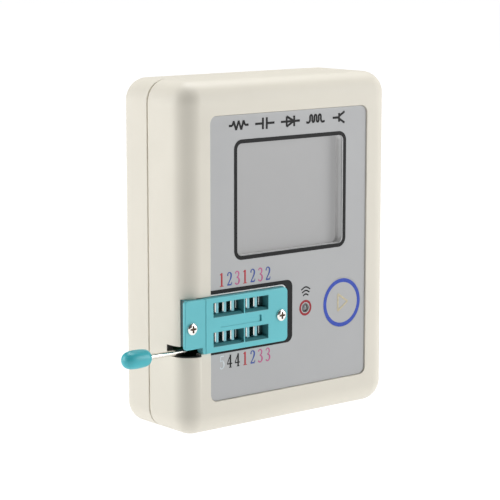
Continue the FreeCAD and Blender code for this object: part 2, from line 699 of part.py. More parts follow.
def board_parts():
    node(chip("processor_body", processor), "mcu_chip")
    node(chip("charger_body", charger), "charger_chip")
    node(chip("inductor_body", inductor), "boost_inductor")
    can_y = (pcb_back, pcb_back + crystal.depth)
    can_ends = [bar("can_end_%d" % i, "Y", (x, crystal.z), crystal.height / 2, can_y)
                for i, x in enumerate(centred(crystal.x, crystal.width))]
    node(fused("crystal_form", [chip("can_body", crystal)] + can_ends), "crystal_can")
    node(chip("connector_body", connector), "cell_connector")
    node(chip_field("capacitor", capacitor, 4, 2), "chip_capacitors")
    node(chip_field("resistor", resistor, 4, 3), "chip_resistors")
    edge = pcb_width / 2
    node(block("led_chip", (edge - led.length, edge), (pcb_front - led.depth, pcb_front),
               centred(led_z, led.width)), "charge_led")


def charging_socket():
    mouth = pcb_width / 2 + usb_overhang
    x = (mouth - usb_length, mouth)
    y = (pcb_front - usb_height, pcb_front)
    z = centred(usb_z, usb_width)
    inner_x = x[0] + usb_wall
    hollow = block("usb_hollow", (inner_x, mouth + overcut), inset(y, usb_wall), inset(z, usb_wall))
    node(carved("usb_can", block("usb_can_blank", x, y, z), [hollow]), "usb_shell")
    tongue_y = centred((y[0] + y[1]) / 2, tongue.thickness)
    node(block("usb_tongue_plate", (inner_x, mouth - tongue.setback), tongue_y, inset(z, tongue.inset)),
         "usb_tongue")


def infrared_receiver():
    front = front_inner + receiver.gap
    back = front + receiver.depth
    body = block("receiver_body", centred(receiver_x, receiver.width), (front, back),
                 centred(controls_z, receiver.height))
    dome = ball("receiver_dome", receiver_x, front + receiver.dome_sink, controls_z, receiver.dome_radius)
    leg_z = centred(controls_z - receiver.leg_drop, tail_width)
    legs = [block("receiver_leg_%d" % i, centred(x, tail_width), (back - root_depth, pcb_front), leg_z)
            for i, x in enumerate((receiver_x - contact_pitch, receiver_x, receiver_x + contact_pitch))]
    node(fused("receiver_form", [body, dome] + legs), "ir_receiver")
    at = (receiver_x, controls_z)
    lens_front = label_front + lens.sink
    lens_form = [ball("lens_dome", receiver_x, lens_front + lens.radius, controls_z, lens.radius),
                 bar("lens_barrel", "Y", at, lens.radius, (lens_front + lens.radius, front_inner)),
                 bar("lens_flange", "Y", at, lens.flange, (front_inner, front_inner + lens.flange_depth))]
    node(fused("lens_form", lens_form), "receiver_lens")


def start_key():
    """The film disc in the label, the cap behind it and the switch that it presses."""
    at = (key_x, controls_z)
    node(bar("key_disc", "Y", at, key_radius, (label_front, label_back)), "start_key_film")
    flange_front = front_inner + slide_gap
    flange_back = flange_front + flange_thickness
    nose_tip = flange_back + nose_length
    switch_front = pcb_front - switch_height
    plunger_back = switch_front + plunger_seat
    cap = [bar("cap_stem", "Y", at, key_radius - stem_gap, (label_back, flange_back)),
           bar("cap_flange", "Y", at, key_radius + flange_rim, (flange_front, flange_back)),
           bar("cap_nose", "Y", at, plunger_radius, (flange_back, nose_tip))]
    node(fused("key_cap_form", cap), "start_key_cap")
    node(bar("plunger_bar", "Y", at, plunger_radius, (nose_tip, plunger_back)), "switch_plunger")
    body = block("switch_block", centred(key_x, switch_side), (switch_front, pcb_front),
                 centred(controls_z, switch_side))
    bore = bar("switch_bore", "Y", at, plunger_radius + slide_gap,
               (switch_front - overcut, plunger_back + key_travel + bore_spare))
    node(carved("switch_form", body, [bore]), "switch_body")


# Lever socket
def each_contact(make):
    """Calls make with a name, X and Z for the contact in every column of both rows."""
    return [make("%d_%d" % (i, j), x, z) for i, x in enumerate(columns) for j, z in enumerate(rows)]


def socket_contacts():
    ends = [columns[i] for i in end_columns]

    def contact(name, x, z):
        tip = contact_tip + end_sink if x in ends else contact_tip
        blade = block("blade_" + name, centred(x, contact_thickness), (tip, blade_back),
                      centred(z, contact_width))
        tail = block("tail_" + name, centred(x, tail_width), (blade_back, tail_back),
                     centred(z, tail_width))
        return fused("contact_" + name, [blade, tail])

    node(grouped("contact_set", each_contact(contact)), "socket_contacts")


def socket_base():
    """The block under the cover: bearings of the lever shaft, crank trough and contact slots."""
    step_x = cover_step + base_gap
    lever_end_z = (base_lever_bottom, base_top)
    base_z = (base_bottom, base_top)
    solid = fused("base_solid", [
        block("base_main", (step_x, base_right), (base_front, pcb_front), base_z),
        block("base_lever_end", (-half_width + side_wall + base_gap, step_x), (base_front, pcb_front),
              lever_end_z),
        block("base_shelf", (base_left, cover_step - base_gap), (end_plate_back + slide_gap, shelf_back),
              lever_end_z),
        block("base_far_rest", (base_right - far_rest, base_right), (cover_back, base_front), base_z)])
    ahead = end_plate_back - overcut
    journal = rod_radius + slide_gap
    journal_z = (base_lever_bottom - overcut, shaft_end)
    thread = socket_screw_radius + screw_gap
    tools = [block("base_trough", trough_x, (ahead, lever_y + trough.depth), trough_z),
             block("journal_slot", centred(lever_x, journal * 2), (ahead, lever_y), journal_z),
             bar("journal_seat", "Z", (lever_x, lever_y), journal, journal_z),
             bar("left_screw_hole", "Y", (left_screw_x, socket_screw_z), thread, (ahead, shelf_back)),
             bar("right_screw_hole", "Y", (right_screw_x, socket_screw_z), thread,
                 (cover_back - overcut, cover_front + socket_screw_length + overcut))]

    def blade_slot(name, x, z):
        return block("blade_slot_" + name, centred(x, contact_thickness + blade_gap * 2),
                     (base_front - overcut, blade_back), centred(z, contact_width + blade_gap * 2))

    def tail_slot(name, x, z):
        return block("tail_slot_" + name, centred(x, tail_width + blade_gap * 2),
                     (blade_back - root_depth, pcb_front + overcut), centred(z, tail_width + blade_gap * 2))

    tools += each_contact(blade_slot) + each_contact(tail_slot)
    node(carved("base_cut", solid, tools), "socket_base")


def socket_slider():
    """The plate that the crank pushes along; its posts close the contacts on a component's leads."""
    plate_x = (columns[0] - slider_overhang, base_right - far_rest - slider_travel - slide_gap * 2)
    plate_y = (slider_front, slider_back)
    yoke_x = (pin_x - yoke.left, pin_x + yoke.right)
    yoke_z = inset(trough_z, yoke.inset)
    yoke_back = lever_y + yoke.depth
    pieces = [block("slider_plate", plate_x, plate_y, inset((base_bottom, base_top), slider_inset)),
              block("slider_arm", (yoke_x[0], plate_x[0] + root_depth), plate_y, yoke_z),
              block("slider_yoke", yoke_x, (slider_front, yoke_back), yoke_z)]
    post_start = contact_thickness / 2 + slide_gap

    def post(name, x, z):
        return block("post_bar_" + name, (x + post_start, x + post_start + post_width),
                     (contact_tip, slider_back), inset((z - row_below, z + row_above), post_inset))

    def way(name, x, z):
        return block("contact_way_" + name, (x - slider_travel - way_left, x + post_start),
                     (contact_tip - overcut, slider_back + overcut),
                     centred(z, contact_width + way_rise * 2))

    for i, x in enumerate(columns):
        if i not in end_columns:
            pieces += [post("%d_%d" % (i, j), x, z) for j, z in enumerate(rows)]
    yoke_slot = block("yoke_slot", centred(pin_x, (crank_radius + slide_gap) * 2),
                      (lever_y - yoke.slot, yoke_back + overcut), inset(yoke_z, -overcut))
    node(carved("slider_cut", fused("slider_solid", pieces), each_contact(way) + [yoke_slot]),
         "socket_slider")


def lead_in_slope(name, x, z):
    """The wedge that slopes the cover's face down into the lower side of a window."""
    slope = doc.addObject("Part::Wedge", name)
    for end in ("X", "X2"):
        bind(slope, end + "min", x[0])
        bind(slope, end + "max", x[1])
    bind(slope, "Ymin", cover_front)
    bind(slope, "Ymax", cover_front + lead_depth)
    bind(slope, "Zmin", z - row_below - lead_in)
    bind(slope, "Zmax", z)
    bind(slope, "Z2min", z - row_below)
    bind(slope, "Z2max", z)
    return slope


def socket_cover():
    body = doc.addObject("PartDesign::Body", "cover_form")
    pad(body, "cover_plate", cover_back, cover_thickness, (cover_step, cover_right),
        (cover_bottom, cover_top), cover_radius)
    pad(body, "cover_end", end_plate_back, end_plate, (cover_left, cover_step + cover_radius * 2),
        (cover_bottom + cover_notch, cover_top), cover_end_radius)
    doc.recompute()
    ahead = cover_front - overcut
    through = (ahead, cover_back + overcut)
    divider = columns[end_columns[0]] + divider_side
    spans = ((columns[0] - row_left, divider),
             (divider + divider_width, columns[end_columns[1]] + row_right))
    tools = []
    for i, span in enumerate(spans):
        for j, z in enumerate(rows):
            tools.append(block("cover_window_%d_%d" % (i, j), span, through, (z - row_below, z + row_above)))
            tools.append(lead_in_slope("cover_slope_%d_%d" % (i, j), span, z))
    panel_z = (controls_z - panel.below, controls_z + panel.above)
    panel_y = (ahead, cover_front + panel.sink)
    notch_x = columns[end_columns[1]] - key_notch.setback
    tools += [block("cover_panel", (columns[0] + panel.left, notch_x), panel_y, panel_z),
              block("cover_key_notch", (notch_x, notch_x + key_notch.width),
                    (ahead, cover_front + key_notch.depth), panel_z),
              block("cover_step_line", (cover_left - overcut, columns[0] - step_line), panel_y,
                    inset((cover_bottom, cover_top), -overcut))]
    hole_radius = socket_screw_radius + screw_gap
    tools += [bar("cover_screw_hole_%d" % i, "Y", (x, socket_screw_z), hole_radius, through)
              for i, x in enumerate((left_screw_x, right_screw_x))]
    node(carved("cover_cut", body, tools), "socket_cover")


def socket_screws():
    seats = ((left_screw_x, cover_front + panel.sink), (right_screw_x, cover_front))
    screws = [driven_screw("socket_screw_%d" % i, (x, socket_screw_z), seat, -1, socket_screw_radius,
                           socket_screw_length, socket_head_radius, socket_head_height)
              for i, (x, seat) in enumerate(seats)]
    node(grouped("socket_screw_set", screws), "socket_screws")


def lever():
    """A bent wire: the arm, a quarter bend and a cross shaft with a crank pin in its middle."""
    arm_across = (lever_y, lever_z)
    axis = (lever_x, lever_y)
    pin = (pin_x, lever_y - crank_offset)
    arm_end = lever_x - bend_radius
    shaft_start = lever_z + bend_radius
    webs = inset(trough_z, end_play)
    web_faces = inset(webs, web_thickness)
    wire = [bar("lever_arm", "X", arm_across, rod_radius, (rod_tip_x, arm_end)),
            elbow("lever_bend", arm_end, lever_y, shaft_start, bend_radius, rod_radius,
                  Vector(0, 0, -1), Vector(1, 0, 0)),
            bar("lever_shaft", "Z", axis, rod_radius, (shaft_start, webs[0])),
            bar("crank_web_low", "Z", axis, web_radius, (webs[0], web_faces[0])),
            bar("crank_pin", "Z", pin, crank_radius, web_faces),
            bar("crank_web_high", "Z", axis, web_radius, (web_faces[1], webs[1])),
            bar("lever_shaft_end", "Z", axis, rod_radius, (webs[1], shaft_end - end_play))]
    node(fused("lever_wire", wire), "lever_rod")
    knob_x = (knob_tip_x, knob_tip_x + knob_length)
    ends = inset(knob_x, knob_radius)
    capsule = [bar("knob_barrel", "X", arm_across, knob_radius, ends)]
    capsule += [ball("knob_end_%d" % i, x, lever_y, lever_z, knob_radius) for i, x in enumerate(ends)]
    hole = bar("knob_hole", "X", arm_across, rod_radius, (rod_tip_x, knob_x[1] + overcut))
    node(carved("knob_cut", fused("knob_form", capsule), [hole]), "lever_knob")


# Power
def power():
    cell_back = rear_inner - tape_thickness
    cell_x = centred(middle, cell_width)
    cell_z = (cell_bottom, cell_bottom + cell_height)
    node(block("cell_pouch", cell_x, (cell_back - cell_thickness, cell_back), cell_z), "battery_cell")
    node(block("cell_tape", inset(cell_x, tape_inset), (cell_back, rear_inner), inset(cell_z, tape_inset)),
         "battery_tape")
    lead_y = cell_back - cell_thickness / 2
    bend_y = lead_y - lead_bend
    bend_z = connector.z - lead_bend
    leads = []
    for i, x in enumerate(centred(connector.x, lead_spacing)):
        rise = bar("lead_rise_%d" % i, "Z", (x, lead_y), lead_radius, (cell_z[1], bend_z))
        turn = elbow("lead_turn_%d" % i, x, bend_y, bend_z, lead_bend, lead_radius,
                     Vector(0, 1, 0), Vector(0, 0, 1))
        reach = bar("lead_reach_%d" % i, "Y", (x, connector.z), lead_radius,
                    (pcb_back + connector.depth, bend_y))
        leads.append(fused("lead_%d" % i, [rise, turn, reach]))
    node(grouped("lead_pair", leads), "battery_leads")


front_shell()
rear_shell()
case_screws()
front_label()
display_stack()
main_board()
board_parts()
charging_socket()
infrared_receiver()
start_key()
socket_contacts()
socket_base()
socket_slider()
socket_cover()
socket_screws()
lever()
power()
doc.recompute()

failed = [o.Name for o in doc.Objects if "Invalid" in o.State or "Error" in o.State]
if failed:
    raise RuntimeError("not computed: " + ", ".join(failed))
for piece in nodes:
    if piece.Shape.isNull() or not piece.Shape.isValid():
        raise RuntimeError("bad shape: " + piece.Label)

os.makedirs("parts", exist_ok=True)
for piece in nodes:
    piece.Shape.exportStep("parts/%s.step" % piece.Label)
    print("%-18s %2d solids %10.2f mm3" % (piece.Label, len(piece.Shape.Solids), piece.Shape.Volume))
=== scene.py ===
import json
import math

import bmesh
import bpy
from mathutils import Matrix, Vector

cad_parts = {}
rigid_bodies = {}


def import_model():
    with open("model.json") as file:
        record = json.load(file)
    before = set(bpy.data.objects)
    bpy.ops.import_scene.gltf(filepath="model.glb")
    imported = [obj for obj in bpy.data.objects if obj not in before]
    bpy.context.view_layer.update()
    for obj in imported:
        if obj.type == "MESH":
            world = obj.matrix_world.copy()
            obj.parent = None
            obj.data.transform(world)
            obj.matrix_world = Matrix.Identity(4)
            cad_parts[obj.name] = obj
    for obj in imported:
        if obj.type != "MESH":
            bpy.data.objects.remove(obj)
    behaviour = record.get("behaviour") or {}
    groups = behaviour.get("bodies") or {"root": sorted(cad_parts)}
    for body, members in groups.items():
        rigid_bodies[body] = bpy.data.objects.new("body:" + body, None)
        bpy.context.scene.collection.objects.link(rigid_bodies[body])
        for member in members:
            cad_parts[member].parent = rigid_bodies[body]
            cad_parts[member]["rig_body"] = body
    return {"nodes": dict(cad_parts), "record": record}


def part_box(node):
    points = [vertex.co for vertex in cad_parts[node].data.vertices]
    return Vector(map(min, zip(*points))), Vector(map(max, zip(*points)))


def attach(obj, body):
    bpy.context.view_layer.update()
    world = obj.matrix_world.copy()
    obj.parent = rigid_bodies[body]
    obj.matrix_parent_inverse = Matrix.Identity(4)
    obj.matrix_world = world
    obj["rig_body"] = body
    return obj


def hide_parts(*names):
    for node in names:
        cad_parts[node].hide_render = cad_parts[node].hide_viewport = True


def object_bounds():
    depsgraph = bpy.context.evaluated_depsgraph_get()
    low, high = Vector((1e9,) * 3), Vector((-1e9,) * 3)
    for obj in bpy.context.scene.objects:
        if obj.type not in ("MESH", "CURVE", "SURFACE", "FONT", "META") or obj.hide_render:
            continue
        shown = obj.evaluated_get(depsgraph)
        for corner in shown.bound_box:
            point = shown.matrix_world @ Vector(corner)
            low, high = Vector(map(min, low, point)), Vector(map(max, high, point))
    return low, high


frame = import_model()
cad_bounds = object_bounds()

bl_info = {
    "name": "Component tester",
    "version": (1, 0, 0),
    "blender": (4, 5, 0),
    "location": "3D View > Sidebar > Tester",
    "description": "Finishes, printed label, socket details and studio of the component tester",
    "category": "Object",
}

nodes = frame["nodes"]
# Places closer than this, in metres, are one place.
TINY = 0.000002
# Edges that turn by more than this are sharp.
SHARP = math.radians(32)
# A face looks along an axis when its normal has this share of it, and leans that way with the lesser.
FACING = 0.9
LEANING = 0.5
# Most of a noise pattern lies between these two values.
NOISE_RANGE = (0.3, 0.7)


# Values
def mm(value):
    """Millimetres as metres."""
    return value * 0.001


# Points of a mesh that are this close are joined.
JOINED = mm(0.001)


def tint(*levels):
    """A colour as seen on a screen, 0 to 255, as the linear values that a shader takes."""
    shares = [level / 255 for level in levels]
    return tuple(s / 12.92 if s <= 0.04045 else ((s + 0.055) / 1.055) ** 2.4 for s in shares)


def within(place, stretch):
    """Whether a place along an axis lies in a stretch or at its ends."""
    return stretch[0] - TINY < place < stretch[1] + TINY


def shaded(colour, share):
    """A lighter or darker shade of a colour."""
    return tuple(min(1.0, level * share) for level in colour)


def colour(name, description, *levels):
    """A property for a colour as seen on a screen."""
    return bpy.props.FloatVectorProperty(name=name, description=description, subtype="COLOR", size=3,
                                         min=0, max=1, default=tint(*levels))


def length(name, description, millimetres):
    """A property for a size or a place along an axis."""
    return bpy.props.FloatProperty(name=name, description=description, unit="LENGTH", precision=5,
                                   default=mm(millimetres))


def point(name, description, *millimetres):
    """A property for a place."""
    return bpy.props.FloatVectorProperty(name=name, description=description, subtype="TRANSLATION",
                                         size=3, default=[mm(value) for value in millimetres])


def amount(name, description, value):
    """A property for a plain number."""
    return bpy.props.FloatProperty(name=name, description=description, default=value)


def angle(name, description, degrees):
    """A property for an angle."""
    return bpy.props.FloatProperty(name=name, description=description, subtype="ANGLE",
                                   default=math.radians(degrees))


class TesterColours(bpy.types.PropertyGroup):
    """Colours of the tester's finishes."""

    casing: colour("Casing", "Ivory of both shells", 222, 217, 204)
    label: colour("Label", "Silver grey of the printed film", 176, 177, 178)
    display: colour("Display", "Unlit display behind its matt film", 86, 86, 87)
    # Painted light: an even glow of the unlit display, which fills the shadows that the window's walls
    # cast on it.
    display_painted_glow: amount("Display glow", "Light that the display scatters to the front", 0.265)
    gasket: colour("Gasket", "Foam round the display", 214, 214, 213)
    ink_black: colour("Black ink", "Frames and symbols", 25, 25, 26)
    # Painted highlight: the white strip round the socket cover stands in for the lit top edge of the
    # cover.
    highlight_ink: colour("White ink", "Margin round the socket", 246, 246, 244)
    ink_red: colour("Red ink", "Numeral 1 and the receiver ring", 178, 58, 66)
    ink_blue: colour("Blue ink", "Numeral 2", 74, 92, 158)
    ink_pink: colour("Pink ink", "Numeral 3", 190, 98, 142)
    ink_pale: colour("Pale ink", "First numeral of the lower row", 205, 212, 216)
    ring_blue: colour("Key ring", "Ring of the start key", 62, 84, 178)
    ink_gold: colour("Gold ink", "Symbol on the start key", 198, 188, 160)
    socket: colour("Socket", "Teal of the socket's mouldings", 96, 191, 200)
    slider: colour("Slider", "Light teal of the slider's posts", 128, 196, 207)
    knob: colour("Knob", "Teal of the lever's knob", 60, 175, 186)
    lens: colour("Lens", "Smoked lens of the receiver", 132, 133, 136)
    recess: colour("Screw recess", "Shade in the cross recess of a screw", 96, 70, 42)
    zinc: colour("Zinc", "Plating of the screws in the casing and on the board", 190, 190, 186)
    white: colour("White plastic", "Display carrier and key cap", 228, 228, 224)


class TesterSizes(bpy.types.PropertyGroup):
    """Sizes of roundings, printed lines and numerals."""

    shell_edge: length("Shell edges", "Rounding of the shells' sharp edges", 0.18)
    socket_edge: length("Socket edges", "Rounding of the socket's sharp edges", 0.32)
    small_edge: length("Small edges", "Rounding on small metal and plastic pieces", 0.06)
    ink: length("Ink", "Thickness of the print", 0.02)
    window_line: length("Window line", "Black line round the display", 1.05)
    window_left: length("Window line left", "Outer edge from the tester's middle", -18.75)
    window_right: length("Window line right", "Outer edge from the tester's middle", 19.45)
    window_low: length("Window line bottom", "Outer edge above the floor", 44.44)
    window_high: length("Window line top", "Outer edge above the floor", 75.41)
    window_corner: length("Window line corners", "Outer radius", 2.5)
    socket_right: length("Socket frame right", "Outer edge from the tester's middle", 0.85)
    socket_low: length("Socket frame bottom", "Outer edge above the floor", 20.85)
    socket_high: length("Socket frame top", "Outer edge above the floor", 37.55)
    socket_corner: length("Socket frame corners", "Outer radius", 1.9)
    numeral_height: length("Numeral height", "Numerals beside the socket", 3.5)
    numeral_width: length("Numeral width", "Numerals beside the socket", 2.05)
    numeral_step: length("Numeral step", "From one numeral to the next", 2.55)
    numeral_start: length("Numeral start", "Middle of the first numeral", -22.8)
    upper_line: length("Upper numerals", "Foot of the row above the socket", 38.25)
    lower_line: length("Lower numerals", "Foot of the row below the socket", 16.8)
    key_ring: length("Key ring", "Width of the start key's ring", 1.06)
    receiver_ring: length("Receiver ring", "Middle radius of the red ring", 1.8)
    receiver_line: length("Receiver ring line", "Width of the red ring", 0.62)


class TesterStudio(bpy.types.PropertyGroup):
    """Camera, lights and floor."""

    camera: point("Camera", "Where the camera stands", -322.29, -389.92, 126.42)
    turn: angle("Turn", "Camera about the vertical", -39.333)
    dip: angle("Dip", "Camera below the level", 9.289)
    lens: amount("Lens", "Focal length on a 36 mm sensor", 138.5)
    left_light: point("Left light", "Softbox on the lever's side", -979, 694, 340)
    left_power: amount("Left power", "Watts of the left softbox", 11.0)
    right_light: point("Right light", "Softbox at the front right", 872, -823, 340)
    right_power: amount("Right power", "Watts of the right softbox", 10.0)
    top_light: point("Top light", "Softbox above", 320, 260, 1250)
    top_power: amount("Top power", "Watts of the top softbox", 16.9)
    softbox: length("Softbox", "Side of each softbox", 900)
    ambient: amount("Ambient", "Strength of the white surroundings", 0.08)
    floor: length("Floor", "Side of the floor", 12000)
    floor_glow: amount("Floor glow", "Light that the white floor gives off", 0.99)


# Materials
def surface(name, base, roughness, **sockets):
    """A material with one shader; constant values are set on the shader's own sockets."""
    material = bpy.data.materials.new(name)
    material.use_nodes = True
    inputs = shader_of(material).inputs
    inputs["Base Color"].default_value = (*base, 1)
    inputs["Roughness"].default_value = roughness
    for title, value in sockets.items():
        inputs[title.replace("_", " ")].default_value = value
    return material


def shader_of(material):
    """The one shader of a material."""
    return material.node_tree.nodes["Principled BSDF"]


def noise(material, scale, detail=2.0, stretch=(1, 1, 1)):
    """Noise on the piece's own coordinates; scale counts its grains per metre."""
    tree = material.node_tree
    place = tree.nodes.new("ShaderNodeTexCoord")
    mapping = tree.nodes.new("ShaderNodeMapping")
    mapping.inputs["Scale"].default_value = stretch
    texture = tree.nodes.new("ShaderNodeTexNoise")
    texture.inputs["Scale"].default_value = scale
    texture.inputs["Detail"].default_value = detail
    tree.links.new(place.outputs["Object"], mapping.inputs["Vector"])
    tree.links.new(mapping.outputs["Vector"], texture.inputs["Vector"])
    return texture.outputs["Fac"]


def mottle(material, pattern, base, drift):
    """Lets the colour wander along a pattern, by a share to the darker and the lighter side."""
    tree = material.node_tree
    ramp = tree.nodes.new("ShaderNodeValToRGB")
    for element, position, share in zip(ramp.color_ramp.elements, NOISE_RANGE, (1 - drift, 1 + drift)):
        element.position = position
        element.color = (*shaded(base, share), 1)
    tree.links.new(pattern, ramp.inputs["Fac"])
    tree.links.new(ramp.outputs["Color"], shader_of(material).inputs["Base Color"])


def roughen(material, pattern, low, high):
    """Lets the roughness wander between two values along a pattern."""
    tree = material.node_tree
    spread = tree.nodes.new("ShaderNodeMapRange")
    for title, value in zip(("From Min", "From Max", "To Min", "To Max"), (*NOISE_RANGE, low, high)):
        spread.inputs[title].default_value = value
    tree.links.new(pattern, spread.inputs["Value"])
    tree.links.new(spread.outputs["Result"], shader_of(material).inputs["Roughness"])


def emboss(material, pattern, height):
    """Raises the surface along a pattern, by a height in metres."""
    tree = material.node_tree
    bump = tree.nodes.new("ShaderNodeBump")
    bump.inputs["Distance"].default_value = height
    tree.links.new(pattern, bump.inputs["Height"])
    tree.links.new(bump.outputs["Normal"], shader_of(material).inputs["Normal"])


def moulded(name, base, roughness=0.5, grain=5200, height=mm(0.012), drift=0.03, **sockets):
    """Moulded plastic: a fine spark texture, with slight drifts of colour and gloss."""
    clouds = 90
    smears = 420
    smear_detail = 3
    glossier = 0.05
    duller = 0.06
    material = surface(name, base, roughness, **sockets)
    mottle(material, noise(material, clouds), base, drift)
    roughen(material, noise(material, smears, smear_detail), roughness - glossier, roughness + duller)
    emboss(material, noise(material, grain), height)
    return material


def metal(name, base, roughness, stretch=(1, 1, 1)):
    """Plated or drawn metal: fine lines along one axis and a drift of gloss."""
    clouds = 600
    cloud_detail = 3
    drift = 0.05
    smears = 2400
    gloss_drift = 0.3
    lines = 7000
    line_height = mm(0.002)
    material = surface(name, base, roughness, Metallic=1.0)
    mottle(material, noise(material, clouds, cloud_detail, stretch), base, drift)
    roughen(material, noise(material, smears, stretch=stretch),
            roughness * (1 - gloss_drift), roughness * (1 + gloss_drift))
    emboss(material, noise(material, lines, stretch=stretch), line_height)
    return material


def ink(name, base):
    """Screen-printed ink with a faint mottle."""
    roughness = 0.42
    glossiest = 0.36
    dullest = 0.5
    specks = 1500
    speck_detail = 3
    drift = 0.1
    smears = 2600
    material = surface(name, base, roughness, Specular_IOR_Level=0.18)
    mottle(material, noise(material, specks, speck_detail), base, drift)
    roughen(material, noise(material, smears), glossiest, dullest)
    return material


# Pieces
def placed(name, data):
    """Puts an object with its data into the scene."""
    thing = bpy.data.objects.new(name, data)
    bpy.context.scene.collection.objects.link(thing)
    return thing


def meshed(name, bm, *materials):
    """Turns a bmesh into an object of the scene."""
    mesh = bpy.data.meshes.new(name)
    bm.to_mesh(mesh)
    bm.free()
    if "custom_normal" in mesh.attributes:
        mesh.attributes.remove(mesh.attributes["custom_normal"])
    for material in materials:
        mesh.materials.append(material)
    return placed(name, mesh)


def linked(name, bm, body, slot, *materials):
    """Turns a bmesh into a piece that rides on a body."""
    piece = meshed(name, bm, *materials)
    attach(piece, body)
    return piece


def smooth(bm):
    """Shades all faces smoothly."""
    for face in bm.faces:
        face.smooth = True


def grow(bm, faces, keep=False):
    """Extrudes faces and gives the new corners, still in place."""
    grown = bmesh.ops.extrude_face_region(bm, geom=list(faces), use_keep_orig=keep)
    return [item for item in grown["geom"] if isinstance(item, bmesh.types.BMVert)]


def soften(piece, width):
    """Rounds the sharp edges of a piece."""
    bevel = piece.modifiers.new("rounded_edges", "BEVEL")
    bevel.width = width
    bevel.segments = 2
    bevel.limit_method = "ANGLE"
    bevel.angle_limit = SHARP
    bevel.use_clamp_overlap = False
    bevel.loop_slide = False
    bevel.harden_normals = True


def welded(node):
    """A bmesh of a CAD node with its triangles joined."""
    bm = bmesh.new()
    bm.from_mesh(nodes[node].data)
    bmesh.ops.remove_doubles(bm, verts=bm.verts, dist=JOINED)
    smooth(bm)
    return bm


def middle_of(node):
    """The middle of a CAD node's box."""
    low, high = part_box(node)
    return (low + high) / 2


def slot_of(node):
    """The record's material slot of a CAD node."""
    return next(part["material_slot"] for part in frame["record"]["subparts"] if part["node"] == node)


def rounded_copy(node, width, *materials, bm=None):
    """A copy of a CAD node with rounded edges; it stands for the node."""
    body = nodes[node]["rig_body"]
    piece = linked(node + "_piece", bm or welded(node), body, slot_of(node), *materials)
    soften(piece, width)
    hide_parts(node)
    return piece


def dress(material, *names):
    """Gives CAD nodes a material."""
    for name in names:
        for place in nodes[name].material_slots:
            place.material = material


# Print
def label_front():
    """Where the label's printed side is, along Y."""
    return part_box("front_label")[0].y


def stand_up(bm, y):
    """Stands a drawing upright at a place along Y; its X is right and its Y is up."""
    place = Matrix.Translation((0, y, 0)) @ Matrix.Rotation(math.pi / 2, 4, "X")
    bmesh.ops.transform(bm, matrix=place, verts=bm.verts)


def printed(name, bm, material, body="case"):
    """Lays the plates of a drawing on the label."""
    layer = bpy.context.scene.tester_sizes.ink
    downward = [face for face in bm.faces if face.normal.z < 0]
    bmesh.ops.reverse_faces(bm, faces=downward)
    stand_up(bm, label_front() - layer)
    piece = linked(name, bm, body, "label_film", material)
    thickness = piece.modifiers.new("ink_layer", "SOLIDIFY")
    thickness.thickness = layer


def sheet(bm, left, right, low, high):
    """A plain rectangle in a drawing; gives its corners."""
    middle = Matrix.Translation(((left + right) / 2, (low + high) / 2, 0))
    spread = Matrix.Diagonal((right - left, high - low, 1, 1))
    made = bmesh.ops.create_grid(bm, x_segments=1, y_segments=1, size=0.5, matrix=middle @ spread)
    return made["verts"]


def plate(bm, left, right, low, high, radius, corners="both"):
    """A flat plate in a drawing, with rounded corners on both ends or on the right."""
    rounded = [vert for vert in sheet(bm, left, right, low, high)
               if corners == "both" or vert.co.x > left + TINY]
    bmesh.ops.bevel(bm, geom=rounded, offset=radius, affect="VERTICES", segments=8, profile=0.5,
                    material=-1)
    return [face for face in bm.faces if len(face.verts) > 4]


def outline(bm, left, right, low, high, radius, width):
    """A rounded frame in a drawing."""
    faces = plate(bm, left, right, low, high, radius)
    bmesh.ops.inset_individual(bm, faces=faces, thickness=width, use_even_offset=True)
    bmesh.ops.delete(bm, geom=faces, context="FACES")


def collar(bm, left, *rims):
    """A frame in a drawing, open on its left; each rim has its right, low, high and corner radius."""
    runs = []
    for right, low, high, radius in rims:
        faces = plate(bm, left, right, low, high, radius, "right")
        edges = [edge for face in faces for edge in face.edges]
        bmesh.ops.delete(bm, geom=faces, context="FACES_ONLY")
        runs += [edge for edge in edges if any(vert.co.x > left + TINY for vert in edge.verts)]
        open_side = [edge for edge in edges if edge not in runs]
        bmesh.ops.delete(bm, geom=open_side, context="EDGES")
    bmesh.ops.bridge_loops(bm, edges=runs)
    bm.normal_update()


def ring(bm, x, y, inner, outer):
    """A flat ring in a drawing."""
    verts = [bm.verts.new((x + reach, y, 0)) for reach in (inner, outer)]
    edge = bm.edges.new(verts)
    bmesh.ops.spin(bm, geom=[*verts, edge], cent=(x, y, 0), axis=(0, 0, 1), angle=math.tau, steps=96,
                   use_merge=True)
    bm.normal_update()


def straight(half, *points):
    """Strokes of one half width from each point to the next."""
    return [[(x, y, half) for x, y in pair] for pair in zip(points, points[1:])]


def bent(half, *points):
    """A stroke of one half width that runs smoothly through its points."""
    return [[(x, y, half) for x, y in points]]


